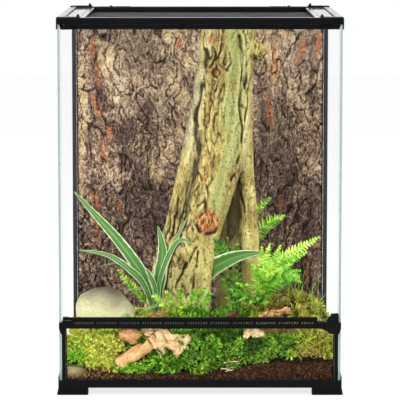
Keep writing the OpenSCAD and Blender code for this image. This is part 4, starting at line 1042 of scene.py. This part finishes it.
# Fronds as root, tip, bow, half width, leaflet pairs, facing and tone. Those without leaflets are
# bare stalks, and three small fronds grow on the stump's right leg.
for row in (
    ((76, 70, 228), (120, 80, 280), (-4, 8, 6), 11, 11, (0.1, -1, 0.1), 0.74),
    ((76, 72, 204), (145, 82, 249), (0, 8, 10), 15, 15, (0.1, -1, 0.1), 0.74),
    ((78, 72, 192), (112, 84, 214), (0, 6, 6), 8, 8, (0.2, -1, 0.1), 0.6),
    ((98, -42, 112), (96, -40, 178), (3, 0, 0), 1, 0, (0.1, -1, 0.1), 0.5),
    ((60, 4, 66), (56, 4, 178), (3, 0, 0), 1, 0, (0.1, -1, 0.1), 0.4),
    ((64, -2, 66), (70, -10, 198), (3, 0, 0), 1, 0, (0.1, -1, 0.1), 0.4),
    ((-82, -58, 88), (-94, -58, 140), (3, 0, 4), 1, 0, (0.1, -1, 0.1), 0.6),
    ((-82, -58, 88), (-92, -58, 132), (5, 0, 4), 1, 0, (0.1, -1, 0.1), 0.6),
    ((96, -40, 176), (197, -56, 232), (6, -14, 2), 13, 17, (0.1, -0.9, 0.5), 0.95),
    ((96, -40, 170), (176, -58, 206), (6, -14, 6), 12, 14, (0.1, -0.9, 0.5), 0.82),
    ((98, -42, 150), (166, -78, 158), (14, -26, 34), 15, 16, (0.1, -0.9, 0.5), 0.62),
    ((70, -10, 196), (66, -16, 214), (-16, 0, 6), 7, 6, (0.1, -0.9, 0.5), 0.5),
    ((56, 4, 176), (22, -8, 222), (2, 0, 8), 13, 9, (-0.1, -1, 0.2), 0.46),
):
    frond(*row)
# A crown of fronds grows at the right of the stump, those that end low bending over more.
crown = ((101, -62, 217, 0.90), (115, -62, 222, 0.95), (133, -62, 219, 0.90), (144, -62, 211, 0.86),
         (159, -62, 197, 0.80), (166, -64, 177, 0.70), (162, -66, 159, 0.62), (148, -70, 167, 0.70),
         (136, -70, 160, 0.66), (125, -70, 177, 0.80), (102, -62, 191, 0.80), (111, -72, 169, 0.74),
         (85, -62, 191, 0.80), (150, -66, 188, 0.84), (122, -66, 200, 0.90), (96, -66, 174, 0.66))
for n, (*tip, tone) in enumerate(crown):
    high_up = tip[2] > 190
    frond((98 + n % 3 * 2, -42 + n % 2 * 4, 120), tip, (4 if tip[0] < 103 else -4, -18,
                                                        10 if high_up else 26), 10 + n % 3,
          14 + n % 3 * 2, (-0.1 if n % 2 else 0.1, -1, 0.3 if high_up else 0.6), tone)
# A skirt of fronds hangs from the same place over the front of the stump's foot.
skirt = ((44, -104, 151, 0.50), (53, -104, 141, 0.56), (65, -104, 133, 0.62), (81, -104, 129, 0.70),
         (94, -104, 134, 0.50), (75, -104, 159, 0.72), (58, -104, 162, 0.66), (49, -104, 129, 0.40),
         (88, -104, 148, 0.60), (107, -110, 128, 0.50))
for n, (*tip, tone) in enumerate(skirt):
    frond((94 + n % 3 * 2, -44, 112), tip, (4, -22, 22 + n % 3 * 5), 10 + n % 2, 14, (0.0, -0.8, 0.8), tone)
for row in (
    ((62, 4, 66), (24, -8, 208), (4, 0, 18), 13, 12, (-0.1, -1, 0.2), 0.42),
    ((64, 4, 66), (44, 0, 226), (2, 0, 14), 11, 12, (-0.1, -1, 0.2), 0.38),
    ((66, 4, 66), (62, -6, 196), (2, 0, 10), 10, 10, (-0.1, -1, 0.2), 0.36),
    ((-94, -58, 138), (-136, -70, 180), (-2, -6, -4), 8, 9, (0.0, -1, 0.3), 0.9),
    ((-92, -58, 130), (-122, -68, 158), (2, -6, 0), 8, 7, (0.0, -1, 0.3), 0.84),
    ((-86, -58, 118), (-106, -68, 142), (2, -6, 2), 8, 6, (0.1, -1, 0.4), 0.8),
):
    frond(*row)
# Low fronds fan out in front of the stump's foot, each from its own root.
for root_x, x, y, z, tone in (
    (-52, -78, -112, 142, 0.92), (-42, -57, -112, 149, 0.86), (-30, -33, -112, 152, 0.80),
    (-17, -8, -112, 152, 0.70), (-9, 8, -112, 155, 0.66), (-2, 21, -112, 145, 0.60),
    (-38, -49, -114, 132, 0.90), (-22, -17, -114, 132, 0.70), (-6, 13, -114, 129, 0.60),
    (-46, -66, -116, 126, 0.95), (-28, -30, -118, 122, 0.80),
):
    frond((root_x, -80, 104), (x, y, z), (0, -14, 22), 9, 12, (0.0, -0.8, 0.7), tone)
# Thin grass stems stand between the fronds on the right.
for stem in range(34):
    x, y = random.uniform(96, 196), random.uniform(-60, -20)
    lean = random.uniform(-22, 22)
    top = random.uniform(34, 84)
    start = len(points)
    for i in range(6):
        t = i / 5
        w = 0.7 * (1 - t) + 0.12
        mid = Vector((x + lean * t * t, y - 6 * t, 92 + top * t))
        points.extend([(mid + Vector((-w, 0, 0))) * mm, (mid + Vector((0, -w, 0))) * mm,
                       (mid + Vector((w, 0, 0))) * mm])
        tones.extend([0.6 + 0.3 * t, 0.7 + 0.3 * t, 0.6 + 0.3 * t])
    sleeve(faces, start, 5, 3)
fresh, add = material("fresh fern frond")
place = add("TexCoord").outputs["Object"]
shade = add("Attribute", attribute_name="tone").outputs["Fac"]
# Leaflets vary in colour over a few millimetres.
vary = add("TexNoise", place, Scale=1 / (7 * mm), Detail=2.0)
offset = add("MapRange", vary, 0.3, 0.7, -0.16, 0.16)
where = add("Math", shade, offset, operation="ADD")
tone = add("ValToRGB", where, stops=((0.12, "#184010"), (0.36, "#38801a"), (0.6, "#6cb826"),
           (0.84, "#a6da38"), (1.0, "#d6f46e")))
leafy = add("BsdfPrincipled", Base_Color=tone, Roughness=0.5, Specular_IOR_Level=0.35)
through = add("BsdfTranslucent", tone)
mixed = add("MixShader", 0.3, leafy, through)
add("OutputMaterial", mixed)
ferns = mesh_of("fern_fronds", points, faces, {"tone": tones}, fresh)
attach(ferns, "tank")
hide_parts("fern")


# Moss. Cushions of fresh moss heaped over the soil: pale and fluffy at the left, vivid green in
# the middle, olive with straw-coloured tips at the right. Each cushion is a ball of sprigs that
# stand out from its middle, over a mat. Sprig roots and the mat are painted dark as shade.
mounds = ((22, -96, 66, 30, 40), (150, -13, 62, 78, 62), (96, -60, 60, 46, 44), (-60, -110, 60, 40, 40),
          (170, -90, 44, 50, 34), (-20, -60, 60, 40, 44), (-30, -120, 40, 30, 46), (-110, -156, 30, 22, 30))


def moss_foot(x):
    """Height in mm at which the moss stops and bare soil begins, against the front pane."""
    marks = ((-217, 46), (-195, 43), (-168, 37), (-130, 31), (0, 29), (40, 33), (72, 41), (105, 53),
             (217, 58))
    return float(np.interp(x, *zip(*marks)))


def moss_top(x, y):
    """Height of the moss mat in mm at a place in plan."""
    slope = share((y + 212) / 96)
    top = 82 + 14 * slope
    if x < -200 or x > 196:
        top -= 10 + (abs(x) - 196) * 0.8
    for cx, cy, rx, ry, h in mounds:
        away = ((x - cx) / rx) ** 2 + ((y - cy) / ry) ** 2
        if away < 1:
            top = max(top, 66 + h * (1 - away) ** 0.5 + (12 if cy < -150 else 0))
    return top + 6 * field(x / 24, y / 24, 1)


def has_moss(x, y):
    """Whether moss grows at a place in plan: not under the stone, and with bare soil behind."""
    if ((x + 154) / 50) ** 2 + ((y + 106) / 38) ** 2 < 1:
        return False
    if y > -40 and x < 84:
        return y < 24 + 10 * field(x / 20, 0, 2) and x > -120
    return y < 70


random.seed(5)
points, faces = [], []
step = 6.0
index = {}
for i in range(int(436 / step) + 1):
    for j in range(int(290 / step) + 1):
        x, y = -217 + i * step, -194 + j * step
        if x <= 217.5 and has_moss(x, y):
            index[i, j] = len(points)
            points.append(Vector((x, y, moss_top(x, y) - 6)) * mm)
for i in range(int(436 / step) + 1):
    if (i, 0) in index:
        index[i, -1] = len(points)
        points.append(Vector((-217 + i * step, -196, moss_foot(-217 + i * step) - 4)) * mm)
for (i, j), a in index.items():
    b, c, d = index.get((i + 1, j)), index.get((i + 1, j + 1)), index.get((i, j + 1))
    if None not in (b, c, d):
        faces.append((a, b, c, d))

# Patches of colour on the face behind the lower pane, as x and z of the middle, half width, half
# height and hue: 0 dark green, 0.3 vivid, 0.55 yellow-green, 0.75 pale yellow, 1 straw and olive.
patches = ((-204, 88, 28, 14, 0.6), (-193, 62, 17, 14, 0.42), (-150, 70, 32, 26, 0.72),
           (-110, 92, 20, 12, 0.2), (-70, 46, 44, 16, 0.36), (-90, 58, 18, 14, 0.52),
           (-30, 60, 24, 18, 0.2), (14, 66, 22, 18, 0.4), (6, 42, 22, 12, 0.5), (58, 92, 12, 14, 0.5),
           (40, 62, 20, 18, 0.22), (88, 80, 14, 16, 0.08), (120, 74, 24, 20, 0.42),
           (112, 66, 14, 10, 0.56), (150, 90, 24, 14, 0.4), (176, 80, 26, 20, 0.8),
           (200, 84, 16, 20, 0.7), (172, 64, 22, 8, 0.94))


def front_hue(x, z):
    """Hue of the moss behind the lower pane."""
    total, sum_hue = 0.04, 0.04 * 0.3
    for cx, cz, rx, rz, h in patches:
        part = math.exp(-((((x - cx) / rx) ** 2 + ((z - cz) / rz) ** 2) ** 2))
        total += part
        sum_hue += part * h
    return sum_hue / total


def top_hue(x, y):
    """Hue of the moss above the louvre bar."""
    marks = ((-217, 0.66), (-100, 0.6), (-60, 0.58), (-30, 0.4), (20, 0.28), (60, 0.24), (88, 0.5),
             (110, 0.9), (150, 0.86), (180, 0.72), (217, 0.66))
    return float(np.interp(x, *zip(*marks))) + 0.2 * field(x / 14, y / 14, 8)


def cushions(name, places, count, long, wide):
    """Balls of sprigs. A place is (x, y, z, radius, hue) in mm; long and wide are a sprig's size."""
    draw = np.random.default_rng(len(places))
    balls = np.repeat(np.array(places), count, axis=0)
    total = len(balls)
    way = draw.normal(size=(total, 3)) * (1.0, 0.9, 0.8) + (0, -0.55, 0.35)
    way /= np.linalg.norm(way, axis=1)[:, None]
    side = np.cross(way, draw.normal(size=(total, 3)))
    side /= np.linalg.norm(side, axis=1)[:, None]
    reach = long * draw.uniform(0.65, 1.2, total)[:, None]
    root = balls[:, :3] + way * (balls[:, 3:4] - reach * 0.75)
    bend = draw.normal(size=(total, 3)) * 0.14 * reach
    half = wide / 2 * draw.uniform(0.6, 1.25, total)[:, None]
    middle = root + way * reach * 0.55 + bend * 0.3
    spots = np.stack([root - side * half * 0.6, root + side * half * 0.6, middle - side * half,
                      middle + side * half, root + way * reach + bend], axis=1).reshape(-1, 3)
    spots[:, 0] = np.clip(spots[:, 0], -218.0, 218.0)
    spots[:, 1] = np.maximum(spots[:, 1], -213.2)
    hue = np.repeat(balls[:, 4] + draw.normal(size=total) * 0.07, 5)
    shade = np.repeat(draw.uniform(0.0, 1.0, total), 5)
    lit = np.repeat(draw.uniform(0.0, 1.0, len(places)), count * 5)
    tip = np.tile((0.0, 0.0, 0.5, 0.5, 1.0), total)
    first = range(0, total * 5, 5)
    loops = [(k, k + 1, k + 3, k + 2) for k in first] + [(k + 2, k + 3, k + 4) for k in first]
    return mesh_of(name, (spots * mm).tolist(), loops, {"hue": hue, "tip": tip, "shade": shade, "lit": lit},
                   living)


# Where a scrap of bark or a leaf lies against the pane, the moss stays behind it. These are the
# places, as x and z of the middle, half width and half height.
kept_clear = ((-104, 64, 34, 20), (-50, 76, 30, 24), (-76, 93, 18, 12), (-112, 92, 14, 14), (88, 98, 22, 12))
front_left, front_right, upper_left, upper_right = [], [], [], []
for number in range(440):
    x = random.uniform(-214, 214)
    foot = moss_foot(x)
    z = foot + 7 + (104 - foot) * random.random()
    if z > moss_top(x, -204) + 8:
        continue
    r = random.uniform(5, 12.5)
    covered = any(((x - cx) / rx) ** 2 + ((z - cz) / rz) ** 2 < 1 for cx, cz, rx, rz in kept_clear)
    back = -213 + r * 0.72 + 5 * random.random() + max(0.0, z - 92) * 0.5 + (15 if covered else 0)
    (front_left if x < 0 else front_right).append((x, back, z, r, front_hue(x, z)))
for number in range(720):
    x, y = random.uniform(-214, 214), random.uniform(-196, 66)
    if not has_moss(x, y):
        continue
    r = random.uniform(7, 13)
    (upper_left if x < 20 else upper_right).append((x, y, moss_top(x, y) - 2, r, top_hue(x, y)))


living, add = material("living moss")
place = add("TexCoord").outputs["Object"]
hue = add("Attribute", attribute_name="hue").outputs["Fac"]
tip = add("Attribute", attribute_name="tip").outputs["Fac"]
shade = add("Attribute", attribute_name="shade").outputs["Fac"]
base = add("ValToRGB", hue, stops=((0.0, "#24500a"), (0.25, "#5c9412"), (0.42, "#7cd814"),
           (0.58, "#c8e824"), (0.74, "#f0e840"), (0.95, "#ac8e34")))
light = add("ValToRGB", hue, stops=((0.0, "#74ac3c"), (0.25, "#b0e050"), (0.42, "#c4f458"),
            (0.58, "#f0f880"), (0.74, "#fcf890"), (0.95, "#e8d890")))
# Colour drifts along a cushion over about 12 mm, and every third sprig or so is bleached.
drift = add("TexNoise", place, Scale=1 / (12 * mm), Detail=2.0)
lit = add("Attribute", attribute_name="lit").outputs["Fac"]
mood = add("Math", drift, lit, operation="ADD")
dim = add("MapRange", mood, 0.55, 1.15, 0.72, 0.0)
dry = add("MapRange", hue, 0.5, 0.68, 1.0, 0.4)
dim = add("Math", dim, dry, operation="MULTIPLY")
# The moss at the left is fresh and bright all through, and at the right it's older.
split = add("SeparateXYZ", place)
fresh_left = add("MapRange", split.outputs["X"], -130 * mm, -80 * mm, 0.6, 1.0)
dim = add("Math", dim, fresh_left, operation="MULTIPLY")
aged_right = add("MapRange", split.outputs["X"], 60 * mm, 120 * mm, 0.0, 0.22)
dim = add("Math", dim, aged_right, operation="ADD")
shaded = add("Mix", dim, base, "#142808")
# Painted shade: each sprig darkens towards its root, and the mat under them is near black.
height = add("MapRange", tip, 0.0, 0.5, 0.0, 1.0)
lower = add("Mix", height, "#0c1606", shaded)
top = add("MapRange", tip, 0.25, 0.85, 0.0, 1.0)
bleached = add("MapRange", shade, 0.5, 0.8, 0.05, 1.0)
fresh_tip = add("Math", top, bleached, operation="MULTIPLY")
keep = add("MapRange", dim, 0.0, 0.72, 1.0, 0.35)
fresh_tip = add("Math", fresh_tip, keep, operation="MULTIPLY")
pale_left = add("MapRange", split.outputs["X"], -130 * mm, -80 * mm, 1.8, 1.0)
fresh_tip = add("Math", fresh_tip, pale_left, operation="MULTIPLY")
final = add("Mix", fresh_tip, lower, light)
# Every fourth sprig is dark to its tip.
dark_sprig = add("MapRange", shade, 0.18, 0.32, 0.85, 0.0)
dark_sprig = add("Math", dark_sprig, fresh_left, operation="MULTIPLY")
final = add("Mix", dark_sprig, final, "#0e1c06")
leafy = add("BsdfPrincipled", Base_Color=final, Roughness=0.55, Specular_IOR_Level=0.3)
through = add("BsdfTranslucent", final)
mixed = add("MixShader", 0.2, leafy, through)
add("OutputMaterial", mixed)
blank = [0.0] * len(points)
mat = mesh_of("moss_mat", points, faces, {"hue": [0.1] * len(points), "tip": blank, "shade": blank,
                                          "lit": blank}, living)
for cushion in (mat, cushions("moss_front_left", front_left, 72, 11, 3.3),
                cushions("moss_front_right", front_right, 72, 13, 3.0),
                cushions("moss_upper_left", upper_left, 76, 12, 2.6),
                cushions("moss_upper_right", upper_right, 86, 14, 2.3)):
    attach(cushion, "tank")
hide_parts("moss")


# Scraps on the moss. A curled tube of dry bark, a crumpled pale flake and fallen leaves, tan to
# brown, dried and cupped.
points, faces, tones = [], [], []


def scrap(centre, along, across, bend, curl, crumple, tone, thick=0.9):
    """A cupped flake of bark or leaf: along and across are its half axes in mm; curl rolls it up."""
    centre, along, across = Vector(centre), Vector(along), Vector(across)
    up = along.cross(across).normalized()
    long, wide = 14, 12
    start = len(points)
    for layer in (1, -1):
        for i in range(long + 1):
            for j in range(wide + 1):
                u, v = i / long * 2 - 1, j / wide * 2 - 1
                rim = 1.0 if curl > 1.5 else (1 - 0.72 * abs(u) ** 2.6) ** 0.7
                angle = v * curl
                rolled = across * (math.sin(angle) / max(curl, 0.01)) * rim
                lift = up * ((math.cos(angle) - 1) / max(curl, 0.01) * across.length * rim)
                wave = noise.noise_vector(centre / 9 + Vector((u * 2.2, v * 2.2, tone * 5))) * crumple
                wave += noise.noise_vector(centre / 9 + Vector((u * 5, v * 5, tone * 5))) * crumple * 0.35
                spot = centre + along * u + rolled + lift + up * (-bend * u * u + layer * thick / 2) + wave
                spot.y = max(-213.0, spot.y)
                points.append(spot * mm)
                tones.append(tone + 0.18 * field(u * 3, v * 3, tone * 9))
    ring = wide + 1
    block = (long + 1) * ring
    for i in range(long):
        for j in range(wide):
            a = start + i * ring + j
            faces.append((a, a + ring, a + ring + 1, a + 1))
            faces.append((a + block, a + block + 1, a + block + ring + 1, a + block + ring))
    rim_loop = [start + j for j in range(ring)] + [start + i * ring + wide for i in range(1, long + 1)]
    rim_loop += [start + long * ring + j for j in range(wide - 1, -1, -1)]
    rim_loop += [start + i * ring for i in range(long - 1, 0, -1)]
    for a, b in zip(rim_loop, rim_loop[1:] + rim_loop[:1]):
        faces.append((a, b, b + block, a + block))


# Scraps as centre, half axes, bend, curl, crumple, tone and, for the thick ones, thickness.
for row in (
    ((-106, -211, 66), (26, 1, 17), (-13, 7, 19), 0, 2.2, 1.5, 0.66, 1.4),
    ((-50, -207, 77), (27, 2, -8), (6, -4, 22), 5, 0.7, 15, 0.84, 1.2),
    ((-74, -207, 93), (17, 2, -9), (4, -4, 9), 3, 0.8, 7, 0.8),
    ((-112, -208, 93), (12, 2, -11), (13, -3, 9), 3, 0.5, 6, 0.58),
    ((90, -208, 97), (15, 1, -8), (3, -3, 7), 2, 0.8, 6, 0.9),
    ((77, -208, 99), (5, 1, 8), (4, -3, -2), 2, 0.8, 4, 0.92),
    ((110, -207, 101), (9, 1, -4), (2, -4, 5), 2, 1.0, 3, 0.3),
    ((124, -118, 112), (23, 4, 3), (3, -7, 7), 3, 0.8, 6, 0.6),
    ((52, -128, 110), (11, 3, 4), (2, -6, 6), 2, 0.9, 3, 0.14),
    ((196, -120, 96), (12, 4, -3), (2, -6, 5), 2, 0.9, 3, 0.35),
    ((-66, -120, 112), (16, 3, 3), (2, -6, 4), 2, 0.9, 3, 0.5),
):
    scrap(*row)
# Ten bits of twig lie against the pane, five of them pale.
random.seed(23)
fifth_turn = 1.257
for twig in range(10):
    x = random.uniform(14, 66) if twig < 5 else random.uniform(-196, -140)
    z = random.uniform(36, 54) if twig < 5 else random.uniform(34, 44)
    a = Vector((x, -211.4, z))
    b = a + Vector((random.uniform(10, 26) * random.choice((-1, 1)), random.uniform(0, 2),
                    random.uniform(-9, 12)))
    start = len(points)
    for i in range(8):
        mid = a.lerp(b, i / 7) + noise.noise_vector(Vector((twig, i / 3, 0))) * 2.4
        mid.y = max(-211.8, mid.y)
        for k in range(5):
            turn = k * fifth_turn
            round_it = (0.8 * math.sin(turn), 0.8 * math.cos(turn), 0.8 * math.sin(turn + 1))
            points.append((mid + Vector(round_it)) * mm)
            tones.append((0.86 if twig < 5 else 0.16) + 0.1 * math.sin(twig * 3.1))
    sleeve(faces, start, 7, 5)
dry, add = material("dry bark and leaf litter")
place = add("TexCoord").outputs["Object"]
shade = add("Attribute", attribute_name="tone").outputs["Fac"]
# Veins and fibres are about 1.5 mm apart.
vein = add("TexNoise", place, Scale=1 / (3 * mm), Detail=4.0, Roughness=0.7)
shift = add("MapRange", vein, 0.3, 0.7, -0.2, 0.2)
where = add("Math", shade, shift, operation="ADD")
tone = add("ValToRGB", where, stops=((0.05, "#4a2410"), (0.3, "#86502a"), (0.55, "#c08a54"),
           (0.78, "#ddb27a"), (0.98, "#f2dcae")))
bump = add("Bump", Strength=0.6, Distance=0.6 * mm, Height=vein)
shader = add("BsdfPrincipled", Base_Color=tone, Roughness=0.72, Specular_IOR_Level=0.3, Normal=bump)
add("OutputMaterial", shader)
litter = mesh_of("bark_and_leaf_scraps", points, faces, {"tone": tones}, dry)
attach(litter, "tank")
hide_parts("bark_pieces")
